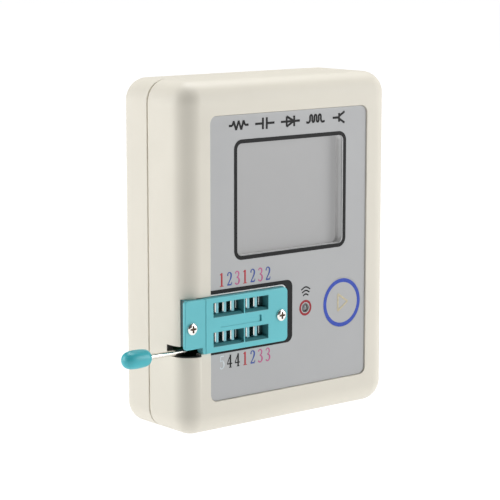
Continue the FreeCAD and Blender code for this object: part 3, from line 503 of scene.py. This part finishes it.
# Strokes on a square of side 1: each runs smoothly through places with x, y and half width.
NUMERALS = {
    "1": (((0.5, 0.0, 0.075), (0.5, 1.0, 0.075)),
          ((0.22, 0.86, 0.03), (0.5, 0.96, 0.045)),
          ((0.2, 0.02, 0.028), (0.8, 0.02, 0.028))),
    "2": (((0.2, 0.73, 0.06), (0.26, 0.9, 0.045), (0.48, 0.97, 0.04), (0.74, 0.84, 0.07),
           (0.74, 0.64, 0.075), (0.5, 0.34, 0.05), (0.16, 0.05, 0.04)),
          ((0.16, 0.06, 0.06), (0.8, 0.06, 0.06)),
          ((0.8, 0.08, 0.05), (0.87, 0.25, 0.025))),
    "3": (((0.2, 0.82, 0.055), (0.3, 0.94, 0.04), (0.5, 0.97, 0.04), (0.72, 0.84, 0.065),
           (0.68, 0.64, 0.055), (0.4, 0.53, 0.03)),
          ((0.4, 0.53, 0.03), (0.7, 0.44, 0.055), (0.8, 0.24, 0.075), (0.62, 0.05, 0.05),
           (0.38, 0.02, 0.04), (0.18, 0.14, 0.06))),
    "4": (((0.62, 0.0, 0.07), (0.62, 0.97, 0.07)),
          ((0.62, 0.96, 0.04), (0.12, 0.32, 0.035)),
          ((0.1, 0.3, 0.045), (0.9, 0.3, 0.045)),
          ((0.4, 0.02, 0.028), (0.84, 0.02, 0.028))),
    "5": (((0.8, 0.95, 0.05), (0.3, 0.95, 0.05)),
          ((0.3, 0.95, 0.035), (0.25, 0.55, 0.035)),
          ((0.25, 0.55, 0.035), (0.55, 0.6, 0.05), (0.8, 0.34, 0.075), (0.66, 0.08, 0.055),
           (0.4, 0.02, 0.04), (0.18, 0.14, 0.06))),
}
SYMBOLS = {
    "resistor": straight(0.09, (0.0, 0.5), (0.18, 0.5), (0.25, 0.85), (0.37, 0.15), (0.5, 0.85),
                         (0.63, 0.15), (0.75, 0.85), (0.82, 0.5), (1.0, 0.5)),
    "capacitor": [*straight(0.09, (0.0, 0.5), (0.4, 0.5)), *straight(0.1, (0.4, 0.05), (0.4, 0.95)),
                  *straight(0.1, (0.6, 0.05), (0.6, 0.95)), *straight(0.09, (0.6, 0.5), (1.0, 0.5))],
    "diode": [*straight(0.09, (0.0, 0.5), (1.0, 0.5)),
              *straight(0.09, (0.3, 0.1), (0.3, 0.9), (0.68, 0.5), (0.3, 0.1)),
              *straight(0.1, (0.7, 0.08), (0.7, 0.92))],
    "coil": bent(0.09, (0.0, 0.3), (0.16, 0.3), (0.27, 0.85), (0.38, 0.3), (0.5, 0.85), (0.62, 0.3),
                 (0.73, 0.85), (0.84, 0.3), (1.0, 0.3)),
    "transistor": [*straight(0.09, (0.1, 0.5), (0.45, 0.5)), *straight(0.1, (0.45, 0.15), (0.45, 0.85)),
                   *straight(0.09, (0.45, 0.6), (0.75, 0.95)),
                   *straight(0.09, (0.45, 0.4), (0.75, 0.05))],
    "waves": [*bent(0.07, (0.2, 0.15), (0.5, 0.3), (0.8, 0.15)),
              *bent(0.07, (0.08, 0.45), (0.5, 0.65), (0.92, 0.45)),
              *bent(0.07, (0.0, 0.75), (0.5, 1.0), (1.0, 0.75))],
    "play": straight(0.06, (0.2, 0.0), (0.2, 1.0), (0.95, 0.5), (0.2, 0.0)),
}


def stroke(bm, strokes, left, foot, width, height):
    """Draws strokes in a box of a drawing; their half widths scale with the box's height."""
    curve = bpy.data.curves.new("pen", "CURVE")
    curve.dimensions = "3D"
    curve.bevel_depth = 1
    curve.bevel_resolution = 3
    curve.use_fill_caps = True
    for points in strokes:
        spline = curve.splines.new("BEZIER")
        spline.bezier_points.add(len(points) - 1)
        for knot, (x, y, half) in zip(spline.bezier_points, points):
            knot.co = (left + x * width, foot + y * height, 0)
            knot.radius = half * height
            knot.handle_left_type = "AUTO"
            knot.handle_right_type = "AUTO"
    pen = placed("pen", curve)
    drawn = bpy.data.meshes.new_from_object(pen)
    bm.from_mesh(drawn)
    bpy.data.objects.remove(pen)
    bpy.data.curves.remove(curve)
    bpy.data.meshes.remove(drawn)


def drawn_print(name, bm, material, body="case"):
    """Flattens pen strokes to a print and lays them on the label."""
    layer = bpy.context.scene.tester_sizes.ink
    reach = max(abs(vert.co.z) for vert in bm.verts)
    bmesh.ops.scale(bm, vec=(1, 1, layer / reach), verts=bm.verts)
    stand_up(bm, label_front() - layer)
    smooth(bm)
    linked(name, bm, body, "label_film", material)


class TesterOperator(bpy.types.Operator):
    """Gives the operators their colours and sizes."""

    bl_options = {"REGISTER", "UNDO"}

    @property
    def colours(self):
        return bpy.context.scene.tester_colours

    @property
    def sizes(self):
        return bpy.context.scene.tester_sizes


class TESTER_OT_casing(TesterOperator):
    """Makes both shells in satin ivory plastic, with painted shade inside the lever's slot, and their
    screws.
    """

    bl_idname = "tester.casing"
    bl_label = "Casing"

    slot_levels = (mm(21.0), mm(23.7))
    slot_right = mm(-29.8)
    slot_back = mm(-6.0)
    # Share of the ivory's colour for the painted shade inside the lever's slot.
    slot_shade = 0.1

    def execute(self, context):
        ivory = moulded("ivory_plastic", self.colours.casing, drift=0.012)
        # Painted shade: darkened ivory stands in for the shadow on the walls of the lever's slot.
        inside = moulded("slot_shade", shaded(self.colours.casing, self.slot_shade), roughness=0.6)
        rounded_copy("front_shell", self.sizes.shell_edge, ivory, inside, bm=self.shade_slot())
        rounded_copy("rear_shell", self.sizes.shell_edge, ivory)
        zinc = metal("zinc_plate", self.colours.zinc, roughness=0.32)
        rounded_copy("case_screws", self.sizes.small_edge, zinc)
        return {"FINISHED"}

    def shade_slot(self):
        """The front shell with the walls of the lever's slot marked for painted shade, a darkened ivory
        that stands in for the shadow inside the slot.
        """
        bm = welded("front_shell")
        for face in bm.faces:
            spot = face.calc_center_median()
            at_level = min(abs(spot.z - z) for z in self.slot_levels) < TINY
            level = at_level and abs(face.normal.z) > FACING
            upright = abs(spot.y - self.slot_back) < TINY or abs(spot.x - self.slot_right) < TINY
            inside = spot.x < self.slot_right + TINY and within(spot.z, self.slot_levels)
            if inside and (level or upright):
                face.material_index = 1
        return bm


class TESTER_OT_label(TesterOperator):
    """Finishes the label film and prints the frames and symbols on it."""

    bl_idname = "tester.label"
    bl_label = "Label"

    notch_gap = mm(0.15)
    notch_end_gap = mm(0.25)
    notch_corner = mm(1.3)
    # Widths of the white strip, a painted highlight round the cover.
    margin = mm(0.3)
    lower_highlight_width = mm(0.05)
    symbols = ("resistor", "capacitor", "diode", "coil", "transistor")
    symbol_height = mm(3.3)
    symbol_width = mm(6.4)
    symbol_step = mm(8.6)
    symbol_foot = mm(77.4)
    waves_lead = mm(1.45)
    waves_foot = mm(32.2)
    waves_width = mm(3.1)
    waves_height = mm(2.7)

    def execute(self, context):
        sizes = self.sizes
        film = moulded("silver_film", self.colours.label, roughness=0.46, grain=9000, height=mm(0.004),
                       drift=0.01)
        dress(film, "front_label")
        black = ink("black_ink", self.colours.ink_black)
        # Painted highlight: white ink for the strip round the cover's edge.
        white = ink("white_ink", self.colours.highlight_ink)
        frame_lines = bmesh.new()
        outline(frame_lines, sizes.window_left, sizes.window_right, sizes.window_low, sizes.window_high,
                sizes.window_corner, sizes.window_line)
        printed("window_line", frame_lines, black)
        self.print_socket_frame(black, white)
        self.print_symbols(black)
        return {"FINISHED"}

    def print_socket_frame(self, black, white):
        """The black frame round the socket, open towards the lever, with a white strip inside it: a
        painted highlight standing in for the lit edge of the cover.
        """
        sizes = self.sizes
        label_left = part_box("front_label")[0].x
        cover_low, cover_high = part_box("socket_cover")
        low = cover_low.z - self.notch_gap
        high = cover_high.z + self.notch_gap
        right = cover_high.x + self.notch_end_gap
        notch = (right, low, high, self.notch_corner)
        border = (right + self.margin, low - self.lower_highlight_width, high + self.margin,
                  self.notch_corner + self.margin)
        rim = (sizes.socket_right, sizes.socket_low, sizes.socket_high, sizes.socket_corner)
        edge = bmesh.new()
        collar(edge, label_left, notch, border)
        printed("socket_margin", edge, white)
        frame_band = bmesh.new()
        collar(frame_band, label_left, border, rim)
        printed("socket_frame", frame_band, black)

    def print_symbols(self, black):
        """A row of plain component symbols above the display and waves above the receiver."""
        drawing = bmesh.new()
        for place, name in enumerate(self.symbols):
            middle = self.symbol_step * (place - (len(self.symbols) - 1) / 2)
            stroke(drawing, SYMBOLS[name], middle - self.symbol_width / 2, self.symbol_foot,
                   self.symbol_width, self.symbol_height)
        waves_left = middle_of("receiver_lens").x - self.waves_lead
        stroke(drawing, SYMBOLS["waves"], waves_left, self.waves_foot, self.waves_width,
               self.waves_height)
        drawn_print("label_symbols", drawing, black)


class TESTER_OT_numerals(TesterOperator):
    """Prints the coloured numerals above and below the socket."""

    bl_idname = "tester.numerals"
    bl_label = "Numerals"

    rows = (("upper_line", "1231232"), ("lower_line", "5441233"))
    inks = {"1": "ink_red", "2": "ink_blue", "3": "ink_pink", "4": "ink_black", "5": "ink_pale"}

    def execute(self, context):
        sizes = self.sizes
        for numeral, colour_name in self.inks.items():
            drawing = bmesh.new()
            for line, row in self.rows:
                for column, shown in enumerate(row):
                    if shown == numeral:
                        middle = sizes.numeral_start + sizes.numeral_step * column
                        stroke(drawing, NUMERALS[numeral], middle - sizes.numeral_width / 2,
                               getattr(sizes, line), sizes.numeral_width, sizes.numeral_height)
            material = ink("numeral_" + colour_name, getattr(self.colours, colour_name))
            drawn_print("numerals_" + numeral, drawing, material)
        return {"FINISHED"}


class TESTER_OT_display(TesterOperator):
    """Finishes the display with a painted glow, its foam frame and what carries it."""

    bl_idname = "tester.display"
    bl_label = "Display"

    window_width = mm(36.1)
    window_height = mm(28.9)
    window_corner = mm(1.5)
    liner = mm(0.06)

    def execute(self, context):
        # Painted light: the unlit display glows evenly, filling the shadows of the window's walls.
        glass = moulded("display_film", self.colours.display, roughness=0.4, grain=2600, height=mm(0.003),
                        drift=0.02, Coat_Weight=0.25, Coat_Roughness=0.3, Emission_Color=(1, 1, 1, 1),
                        Emission_Strength=self.colours.display_painted_glow)
        dress(glass, "lcd_panel")
        self.line_window()
        foam = moulded("grey_foam", self.colours.gasket, roughness=0.85, grain=3800, height=mm(0.05),
                       drift=0.06)
        dress(foam, "display_gasket")
        dress(moulded("white_plastic", self.colours.white), "lcd_backlight", "lcd_carrier")
        amber = moulded("amber_film", tint(190, 130, 54), roughness=0.3, grain=2000, height=mm(0.004),
                        drift=0.1)
        dress(amber, "lcd_flex")
        return {"FINISHED"}

    def line_window(self):
        """A thin pale liner round the wall of the window, from the label to the foam."""
        foam_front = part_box("display_gasket")[0].y
        label_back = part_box("front_label")[1].y
        middle = middle_of("display_gasket")
        bm = bmesh.new()
        outline(bm, middle.x - self.window_width / 2, middle.x + self.window_width / 2,
                middle.z - self.window_height / 2, middle.z + self.window_height / 2,
                self.window_corner, self.liner)
        stand_up(bm, label_back)
        bmesh.ops.translate(bm, verts=grow(bm, bm.faces, True), vec=(0, foam_front - label_back, 0))
        bmesh.ops.recalc_face_normals(bm, faces=bm.faces)
        pale = moulded("liner_film", tint(224, 224, 224), drift=0.01)
        linked("window_liner", bm, "case", "label_film", pale)


class TESTER_OT_start_key(TesterOperator):
    """Finishes the start key: film disc with its ring and symbol, cap, plunger and switch."""

    bl_idname = "tester.start_key"
    bl_label = "Start key"

    ring_setback = mm(0.14)
    ring_drop = mm(0.12)
    symbol_side = mm(4.6)

    def execute(self, context):
        low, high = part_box("start_key_film")
        middle = middle_of("start_key_film")
        film = moulded("key_film", self.colours.label, roughness=0.44, grain=9000, height=mm(0.004),
                       drift=0.01)
        dress(film, "start_key_film")
        band = bmesh.new()
        rim = (high.x - low.x) / 2 - self.ring_setback
        ring(band, middle.x, middle.z - self.ring_drop, rim - self.sizes.key_ring, rim)
        printed("key_ring", band, ink("ring_blue_ink", self.colours.ring_blue), "start_key")
        mark = bmesh.new()
        side = self.symbol_side
        stroke(mark, SYMBOLS["play"], middle.x - side / 2, middle.z - side / 2, side, side)
        drawn_print("key_symbol", mark, ink("gold_ink", self.colours.ink_gold), "start_key")
        dress(moulded("key_plastic", self.colours.white), "start_key_cap")
        dress(moulded("switch_plastic", tint(38, 38, 38)), "switch_plunger", "switch_body")
        return {"FINISHED"}


class TESTER_OT_receiver(TesterOperator):
    """Finishes the infrared receiver, its lens and the red ring round the hole."""

    bl_idname = "tester.receiver"
    bl_label = "Receiver"

    ring_shade = 0.72

    def execute(self, context):
        middle = middle_of("receiver_lens")
        half = self.sizes.receiver_line / 2
        band = bmesh.new()
        ring(band, middle.x, middle.z, self.sizes.receiver_ring - half, self.sizes.receiver_ring + half)
        red = ink("receiver_red_ink", shaded(self.colours.ink_red, self.ring_shade))
        printed("receiver_ring", band, red)
        smoked = moulded("smoked_lens", self.colours.lens, roughness=0.25, grain=3000, height=mm(0.002),
                         drift=0.05)
        dress(smoked, "receiver_lens")
        dress(moulded("receiver_epoxy", tint(40, 38, 40), roughness=0.35), "ir_receiver")
        return {"FINISHED"}


def cut(bm, place, across, faces=None):
    """Cuts faces along a plane and keeps both sides."""
    chosen = list(faces or bm.faces)
    edges = dict.fromkeys(edge for face in chosen for edge in face.edges)
    verts = dict.fromkeys(vert for face in chosen for vert in face.verts)
    bmesh.ops.bisect_plane(bm, geom=[*chosen, *edges, *verts], dist=TINY, plane_co=place, plane_no=across)


def sink(bm, faces, depth):
    """Presses faces of a front into it, with upright walls round them."""
    bmesh.ops.translate(bm, verts=grow(bm, faces), vec=(0, depth, 0))
    bmesh.ops.delete(bm, geom=[face for face in faces if face.is_valid], context="FACES")


class TESTER_OT_cover(TesterOperator):
    """Makes the socket's cover: rows of windows with sloped lead-ins, a sunk panel and a narrow end."""

    bl_idname = "tester.cover"
    bl_label = "Socket cover"

    contacts = 7
    pitch = mm(2.54)
    row_gap = mm(7.62)
    wide_from = mm(-30.1)
    raised_from = mm(-29.0)
    end_rise = mm(1.66)
    end_thickness = mm(1.25)
    sliver = mm(0.01)
    window_left = mm(1.37)
    window_right = mm(1.39)
    window_below = mm(1.6)
    window_above = mm(1.45)
    before_divider = 3
    divider_start = mm(0.86)
    divider_width = mm(0.45)
    slope_fall = mm(0.7)
    slope_depth = mm(0.9)
    panel_left = mm(0.83)
    panel_below = mm(1.25)
    panel_above = mm(0.45)
    panel_sink = mm(0.15)
    notch_setback = mm(1.37)
    notch_width = mm(0.5)
    notch_depth = mm(1.2)
    corner = mm(1.3)
    end_corner = mm(0.8)
    step_corner = mm(0.9)
    fine_edge = 0.13
    window_edge = 0.5
    # Share of the teal's colour for the painted shade on the windows' walls and over the lever.
    window_painted_shade = 0.42

    def execute(self, context):
        self.low, self.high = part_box("socket_cover")
        middle = middle_of("socket_contacts")
        columns = [middle.x + self.pitch * (i - (self.contacts - 1) / 2) for i in range(self.contacts)]
        divider = columns[self.before_divider] + self.divider_start
        self.spans = ((columns[0] - self.window_left, divider),
                      (divider + self.divider_width, columns[-1] + self.window_right))
        self.rises = [(z - self.window_below, z + self.window_above)
                      for z in (middle.z - self.row_gap / 2, middle.z + self.row_gap / 2)]
        notch_left = columns[-1] - self.notch_setback
        self.panel = (columns[0] + self.panel_left, notch_left)
        self.notch = (notch_left, notch_left + self.notch_width)
        self.panel_rise = (middle.z - self.panel_below, middle.z + self.panel_above)
        bm = self.cut_plate()
        self.give_thickness(bm)
        self.slope_windows(bm)
        panel = self.front_faces(bm, (self.panel[0], self.notch[1]), self.panel_rise)
        sink(bm, panel, self.panel_sink)
        notch = self.front_faces(bm, self.notch, self.panel_rise, self.panel_sink)
        sink(bm, notch, self.notch_depth - self.panel_sink)
        self.round_corners(bm)
        self.weigh_edges(bm)
        self.shade_walls(bm)
        smooth(bm)
        teal = moulded("teal_plastic", self.colours.socket, roughness=0.34, grain=3600, height=mm(0.008),
                       drift=0.035)
        # Painted shade: a darker teal stands in for the shadow on the windows' walls and the step over
        # the lever.
        painted_shade = moulded("teal_shade", shaded(self.colours.socket, self.window_painted_shade))
        cover = rounded_copy("socket_cover", self.sizes.socket_edge, teal, painted_shade, bm=bm)
        cover.modifiers["rounded_edges"].limit_method = "WEIGHT"
        return {"FINISHED"}

    def cut_plate(self):
        """The flat front with its windows and its step at the lever's end cut out."""
        low, high = self.low, self.high
        bm = bmesh.new()
        sheet(bm, low.x, high.x, low.z, high.z)
        stand_up(bm, low.y)
        steps = [x + side for x in (self.wide_from, self.raised_from)
                 for side in (-self.sliver, self.sliver)]
        for x in (*steps, *self.spans[0], *self.spans[1], *self.panel, self.notch[1]):
            cut(bm, (x, 0, 0), (1, 0, 0))
        border = self.raised_from + self.sliver / 2
        for z in (*self.rises[0], *self.rises[1], *self.panel_rise):
            cut(bm, (0, 0, z), (0, 0, 1), [f for f in bm.faces if f.calc_center_median().x > border])
        end_low = low.z + self.end_rise
        cut(bm, (0, 0, end_low), (0, 0, 1), [f for f in bm.faces if f.calc_center_median().x < border])
        gone = self.front_faces(bm, (low.x, self.wide_from + self.sliver), (low.z, end_low))
        for span in self.spans:
            for rise in self.rises:
                gone += self.front_faces(bm, span, rise)
        bmesh.ops.delete(bm, geom=gone, context="FACES")
        return bm

    def front_faces(self, bm, span, rise, depth=0.0):
        """The faces of the front, or of a floor below it, within a stretch of the cover."""
        found = []
        for face in bm.faces:
            spot = face.calc_center_median()
            inside = span[0] < spot.x < span[1] and rise[0] < spot.z < rise[1]
            if inside and abs(spot.y - self.low.y - depth) < TINY:
                found.append(face)
        return found

    def give_thickness(self, bm):
        """Thickens the plate, less at the lever's end, and sinks the face there."""
        for vert in grow(bm, bm.faces, True):
            narrow = vert.co.x < self.wide_from
            vert.co.y = self.low.y + self.end_thickness if narrow else self.high.y
        bmesh.ops.recalc_face_normals(bm, faces=bm.faces)
        for vert in bm.verts:
            if vert.co.x < self.raised_from and vert.co.y < self.low.y + TINY:
                vert.co.y += self.panel_sink

    def slope_windows(self, bm):
        """Slopes the face down into the lower side of each window."""
        for floor, _ in self.rises:
            lower_walls = [face for face in bm.faces
                           if face.normal.z > FACING and abs(face.calc_center_median().z - floor) < TINY]
            cut(bm, (0, self.low.y + self.slope_depth, 0), (0, 1, 0), lower_walls)
            for vert in bm.verts:
                along = any(within(vert.co.x, span) for span in self.spans)
                if along and abs(vert.co.z - floor) < TINY and vert.co.y < self.low.y + TINY:
                    vert.co.z -= self.slope_fall

    def round_corners(self, bm):
        """Rounds the cover's upright corners."""
        low, high = self.low, self.high
        end_low = low.z + self.end_rise
        corners = ((high.x, low.z, self.corner), (high.x, high.z, self.corner),
                   (low.x, end_low, self.end_corner), (low.x, high.z, self.end_corner),
                   (self.wide_from + self.sliver, low.z, self.step_corner))
        for x, z, radius in corners:
            upright = [edge for edge in bm.edges
                       if all(math.hypot(vert.co.x - x, vert.co.z - z) < TINY for vert in edge.verts)]
            bmesh.ops.bevel(bm, geom=upright, offset=radius, offset_type="OFFSET", affect="EDGES",
                            segments=6, profile=0.5, material=-1)

    def weigh_edges(self, bm):
        """Marks the edges to be rounded: fully, less in the windows, finely round panel and step."""
        weights = bm.edges.layers.float.new("bevel_weight_edge")
        for edge in bm.edges:
            spot = (edge.verts[0].co + edge.verts[1].co) / 2
            along_panel = within(spot.x, (self.panel[0], self.notch[1]))
            at_panel = along_panel and within(spot.z, self.panel_rise)
            at_step = abs(spot.x - self.raised_from) < self.sliver * 2
            if edge.calc_face_angle(0) > SHARP:
                plain = self.window_edge if self.in_window(spot) else 1.0
                edge[weights] = self.fine_edge if at_panel or at_step else plain

    def in_window(self, spot):
        """Whether a place lies in a window or on its rim."""
        along = any(within(spot.x, span) for span in self.spans)
        return along and any(within(spot.z, (low - self.slope_fall, high)) for low, high in self.rises)

    def shade_walls(self, bm):
        """Marks the walls of the windows and the step over the lever for painted shade, a darker teal
        that stands in for their shadow.
        """
        for face in bm.faces:
            spot = face.calc_center_median()
            wall = self.in_window(spot) and spot.y > self.low.y + TINY
            over_lever = (face.normal.x < -LEANING and spot.z < self.low.z + self.end_rise
                          and spot.x < self.wide_from + self.step_corner)
            if wall or over_lever:
                face.material_index = 1


class TESTER_OT_socket(TesterOperator):
    """Finishes the socket's base and slider, with painted shade deep inside, and its contacts and screws.
    """

    bl_idname = "tester.socket"
    bl_label = "Socket"

    # Share of the teal's colour for the painted shade on the base and the slider's plate.
    base_painted_shade = 0.12
    post_height = mm(1.3)
    head_height = mm(0.75)
    head_radius = mm(1.5)
    recess_radius = mm(0.8)
    recess_start = mm(0.25)

    def execute(self, context):
        # Painted shade: a near-black teal on the base stands in for the shadow deep in the socket; the
        # base's upward faces keep the plain teal.
        painted_shade = moulded("base_plastic", shaded(self.colours.socket, self.base_painted_shade))
        teal = bpy.data.materials["teal_plastic"]
        base = welded("socket_base")
        for face in base.faces:
            face.material_index = int(face.normal.z > FACING)
        rounded_copy("socket_base", self.sizes.small_edge, painted_shade, teal, bm=base)
        light = moulded("slider_plastic", self.colours.slider, roughness=0.32)
        slider = welded("socket_slider")
        posts_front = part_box("socket_slider")[0].y
        # Painted shade on the slider's plate behind the posts; the posts keep their light teal.
        for face in slider.faces:
            face.material_index = int(face.calc_center_median().y > posts_front + self.post_height)
        rounded_copy("socket_slider", self.sizes.small_edge, light, painted_shade, bm=slider)
        bright = metal("contact_plate", tint(236, 234, 228), roughness=0.22, stretch=(1, 1, 6))
        rounded_copy("socket_contacts", self.sizes.small_edge, bright)
        self.make_screws()
        return {"FINISHED"}

    def make_screws(self):
        """Bright pan heads with a shaded cross recess."""
        nickel = metal("bright_nickel", tint(244, 241, 235), roughness=0.18)
        shade = moulded("recess_shade", self.colours.recess)
        bm = welded("socket_screws")
        low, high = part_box("socket_screws")
        middle = middle_of("socket_screws")
        axes = (low.x + self.head_radius, high.x - self.head_radius)
        for face in bm.faces:
            spot = face.calc_center_median()
            in_head = spot.y < low.y + self.head_height
            reach = math.hypot(spot.x - axes[spot.x >= middle.x], spot.z - middle.z)
            inward = abs(face.normal.y) < LEANING or spot.y > low.y + self.recess_start
            if in_head and reach < self.recess_radius and inward:
                face.material_index = 1
        rounded_copy("socket_screws", self.sizes.small_edge, nickel, shade, bm=bm)


class TESTER_OT_lever(TesterOperator):
    """Finishes the bent lever wire and turns its dipped knob."""

    bl_idname = "tester.lever"
    bl_label = "Lever"

    wire_radius = mm(0.7)

    def execute(self, context):
        dress(metal("lever_steel", tint(232, 229, 222), roughness=0.2, stretch=(0.15, 1, 1)), "lever_rod")
        self.turn_knob()
        return {"FINISHED"}

    def turn_knob(self):
        """A knob turned about the wire: round outer end, straight barrel, blunt inner end."""
        low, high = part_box("lever_knob")
        radius = (high.z - low.z) / 2
        axis = middle_of("lever_knob")
        reach = high.x - low.x
        # Shares of the knob's length from its outer end, and of its radius.
        profile = ((0.0, 0.0), (0.006, 0.2), (0.03, 0.45), (0.08, 0.69), (0.16, 0.87), (0.27, 0.96),
                   (0.42, 1.0), (0.6, 1.0), (0.76, 0.97), (0.88, 0.88), (0.955, 0.72), (0.99, 0.5),
                   (1.0, self.wire_radius / radius))
        bm = bmesh.new()
        verts = [bm.verts.new((low.x + reach * along, axis.y, axis.z + radius * out))
                 for along, out in profile]
        edges = [bm.edges.new(pair) for pair in zip(verts, verts[1:])]
        bmesh.ops.spin(bm, geom=[*verts, *edges], cent=axis, axis=(1, 0, 0), angle=math.tau, steps=48,
                       use_merge=True)
        bmesh.ops.remove_doubles(bm, verts=bm.verts, dist=JOINED)
        bmesh.ops.recalc_face_normals(bm, faces=bm.faces)
        smooth(bm)
        vinyl = moulded("dipped_vinyl", self.colours.knob, roughness=0.38, grain=700, height=mm(0.01),
                        drift=0.04, Coat_Weight=0.1, Coat_Roughness=0.2)
        knob = linked("lever_knob_piece", bm, "lever", "knob_vinyl", vinyl)
        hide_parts("lever_knob")
        rounding = knob.modifiers.new("smooth_barrel", "SUBSURF")
        rounding.levels = 2
        rounding.render_levels = 2


class TESTER_OT_electronics(TesterOperator):
    """Finishes the board and everything soldered to it."""

    bl_idname = "tester.electronics"
    bl_label = "Electronics"

    def execute(self, context):
        board = moulded("solder_mask", tint(28, 96, 58), roughness=0.3, grain=900, height=mm(0.006),
                        drift=0.12)
        dress(board, "main_board")
        epoxy = moulded("chip_epoxy", tint(46, 46, 48), grain=4200, drift=0.08)
        dress(epoxy, "mcu_chip", "charger_chip", "boost_inductor", "chip_resistors")
        ceramic = moulded("capacitor_ceramic", tint(172, 146, 116), roughness=0.45, drift=0.08)
        dress(ceramic, "chip_capacitors")
        dress(metal("crystal_tin", tint(206, 206, 203), roughness=0.28), "crystal_can")
        dress(moulded("connector_plastic", tint(232, 229, 218)), "cell_connector")
        dress(metal("board_zinc", self.colours.zinc, roughness=0.32), "board_screws")
        return {"FINISHED"}


class TESTER_OT_charging(TesterOperator):
    """Finishes the charging socket and the charge light."""

    bl_idname = "tester.charging"
    bl_label = "Charging socket"

    def execute(self, context):
        tin = metal("socket_tin", tint(208, 208, 205), roughness=0.26, stretch=(6, 1, 1))
        rounded_copy("usb_shell", self.sizes.small_edge, tin)
        dress(moulded("tongue_plastic", tint(36, 36, 38), roughness=0.45), "usb_tongue")
        dress(moulded("lamp_resin", tint(226, 150, 138), roughness=0.2, drift=0.06), "charge_led")
        return {"FINISHED"}


class TESTER_OT_cell(TesterOperator):
    """Finishes the lithium cell, its tape and its leads."""

    bl_idname = "tester.cell"
    bl_label = "Cell"

    def execute(self, context):
        foil = metal("cell_foil", tint(200, 200, 202), roughness=0.38, stretch=(1, 1, 0.3))
        dress(foil, "battery_cell")
        dress(moulded("tape_foam", tint(150, 150, 149), roughness=0.85, height=mm(0.03)), "battery_tape")
        dress(moulded("lead_rubber", tint(170, 40, 38), drift=0.06), "battery_leads")
        return {"FINISHED"}


class TESTER_OT_studio(TesterOperator):
    """Sets up the pale floor, the softboxes and the camera."""

    bl_idname = "tester.studio"
    bl_label = "Studio"

    floor_shade = (0.1, 0.1, 0.1)
    floor_drift = 0.05
    floor_clouds = 4
    sensor = 36
    near_clip = mm(10)

    def execute(self, context):
        studio = context.scene.tester_studio
        self.lay_floor(studio)
        world = bpy.data.worlds.new("white_surroundings")
        world.use_nodes = True
        backdrop = world.node_tree.nodes["Background"]
        backdrop.inputs["Color"].default_value = (1, 1, 1, 1)
        backdrop.inputs["Strength"].default_value = studio.ambient
        context.scene.world = world
        for side in ("left", "right", "top"):
            self.hang_softbox(studio, side)
        self.place_camera(context, studio)
        context.scene.view_settings.view_transform = "Standard"
        return {"FINISHED"}

    def lay_floor(self, studio):
        """A wide pale floor that glows as white as a lit photo table."""
        white = surface("white_floor", self.floor_shade, roughness=0.9, Emission_Color=(1, 1, 1, 1),
                        Emission_Strength=studio.floor_glow)
        mottle(white, noise(white, self.floor_clouds), self.floor_shade, self.floor_drift)
        bm = bmesh.new()
        bmesh.ops.create_grid(bm, x_segments=1, y_segments=1, size=studio.floor / 2)
        floor = meshed("floor", bm, white)

    def hang_softbox(self, studio, side):
        """A square light that looks at the tester."""
        low, high = cad_bounds
        light = bpy.data.lights.new(side + "_softbox", "AREA")
        light.shape = "SQUARE"
        light.size = studio.softbox
        light.energy = getattr(studio, side + "_power")
        softbox = placed(side + "_softbox", light)
        softbox.location = getattr(studio, side + "_light")
        inward = (low + high) / 2 - softbox.location
        softbox.rotation_euler = inward.to_track_quat("-Z", "Y").to_euler()

    def place_camera(self, context, studio):
        """The camera at the photograph's place."""
        lens = bpy.data.cameras.new("camera")
        lens.sensor_width = self.sensor
        lens.lens = studio.lens
        lens.clip_start = self.near_clip
        camera = placed("camera", lens)
        camera.location = studio.camera
        camera.rotation_euler = (math.pi / 2 - studio.dip, 0, studio.turn)
        context.scene.camera = camera


OPERATORS = (
    TESTER_OT_casing, TESTER_OT_label, TESTER_OT_numerals, TESTER_OT_display, TESTER_OT_start_key,
    TESTER_OT_receiver, TESTER_OT_cover, TESTER_OT_socket, TESTER_OT_lever, TESTER_OT_electronics,
    TESTER_OT_charging, TESTER_OT_cell, TESTER_OT_studio,
)
GROUPS = {"tester_colours": TesterColours, "tester_sizes": TesterSizes, "tester_studio": TesterStudio}


class TESTER_PT_panel(bpy.types.Panel):
    """Lists the tester's operators in the 3D view's sidebar."""

    bl_label = "Component tester"
    bl_space_type = "VIEW_3D"
    bl_region_type = "UI"
    bl_category = "Tester"

    def draw(self, context):
        for operator in OPERATORS:
            self.layout.operator(operator.bl_idname)


def register():
    for group in GROUPS.values():
        bpy.utils.register_class(group)
    for name, group in GROUPS.items():
        setattr(bpy.types.Scene, name, bpy.props.PointerProperty(type=group))
    for operator in OPERATORS:
        bpy.utils.register_class(operator)
    bpy.utils.register_class(TESTER_PT_panel)


def unregister():
    bpy.utils.unregister_class(TESTER_PT_panel)
    for operator in reversed(OPERATORS):
        bpy.utils.unregister_class(operator)
    for name, group in GROUPS.items():
        delattr(bpy.types.Scene, name)
        bpy.utils.unregister_class(group)


def main():
    register()
    bpy.ops.tester.casing()
    bpy.ops.tester.label()
    bpy.ops.tester.numerals()
    bpy.ops.tester.display()
    bpy.ops.tester.start_key()
    bpy.ops.tester.receiver()
    bpy.ops.tester.cover()
    bpy.ops.tester.socket()
    bpy.ops.tester.lever()
    bpy.ops.tester.electronics()
    bpy.ops.tester.charging()
    bpy.ops.tester.cell()
    bpy.ops.tester.studio()


if __name__ == "__main__":
    main()
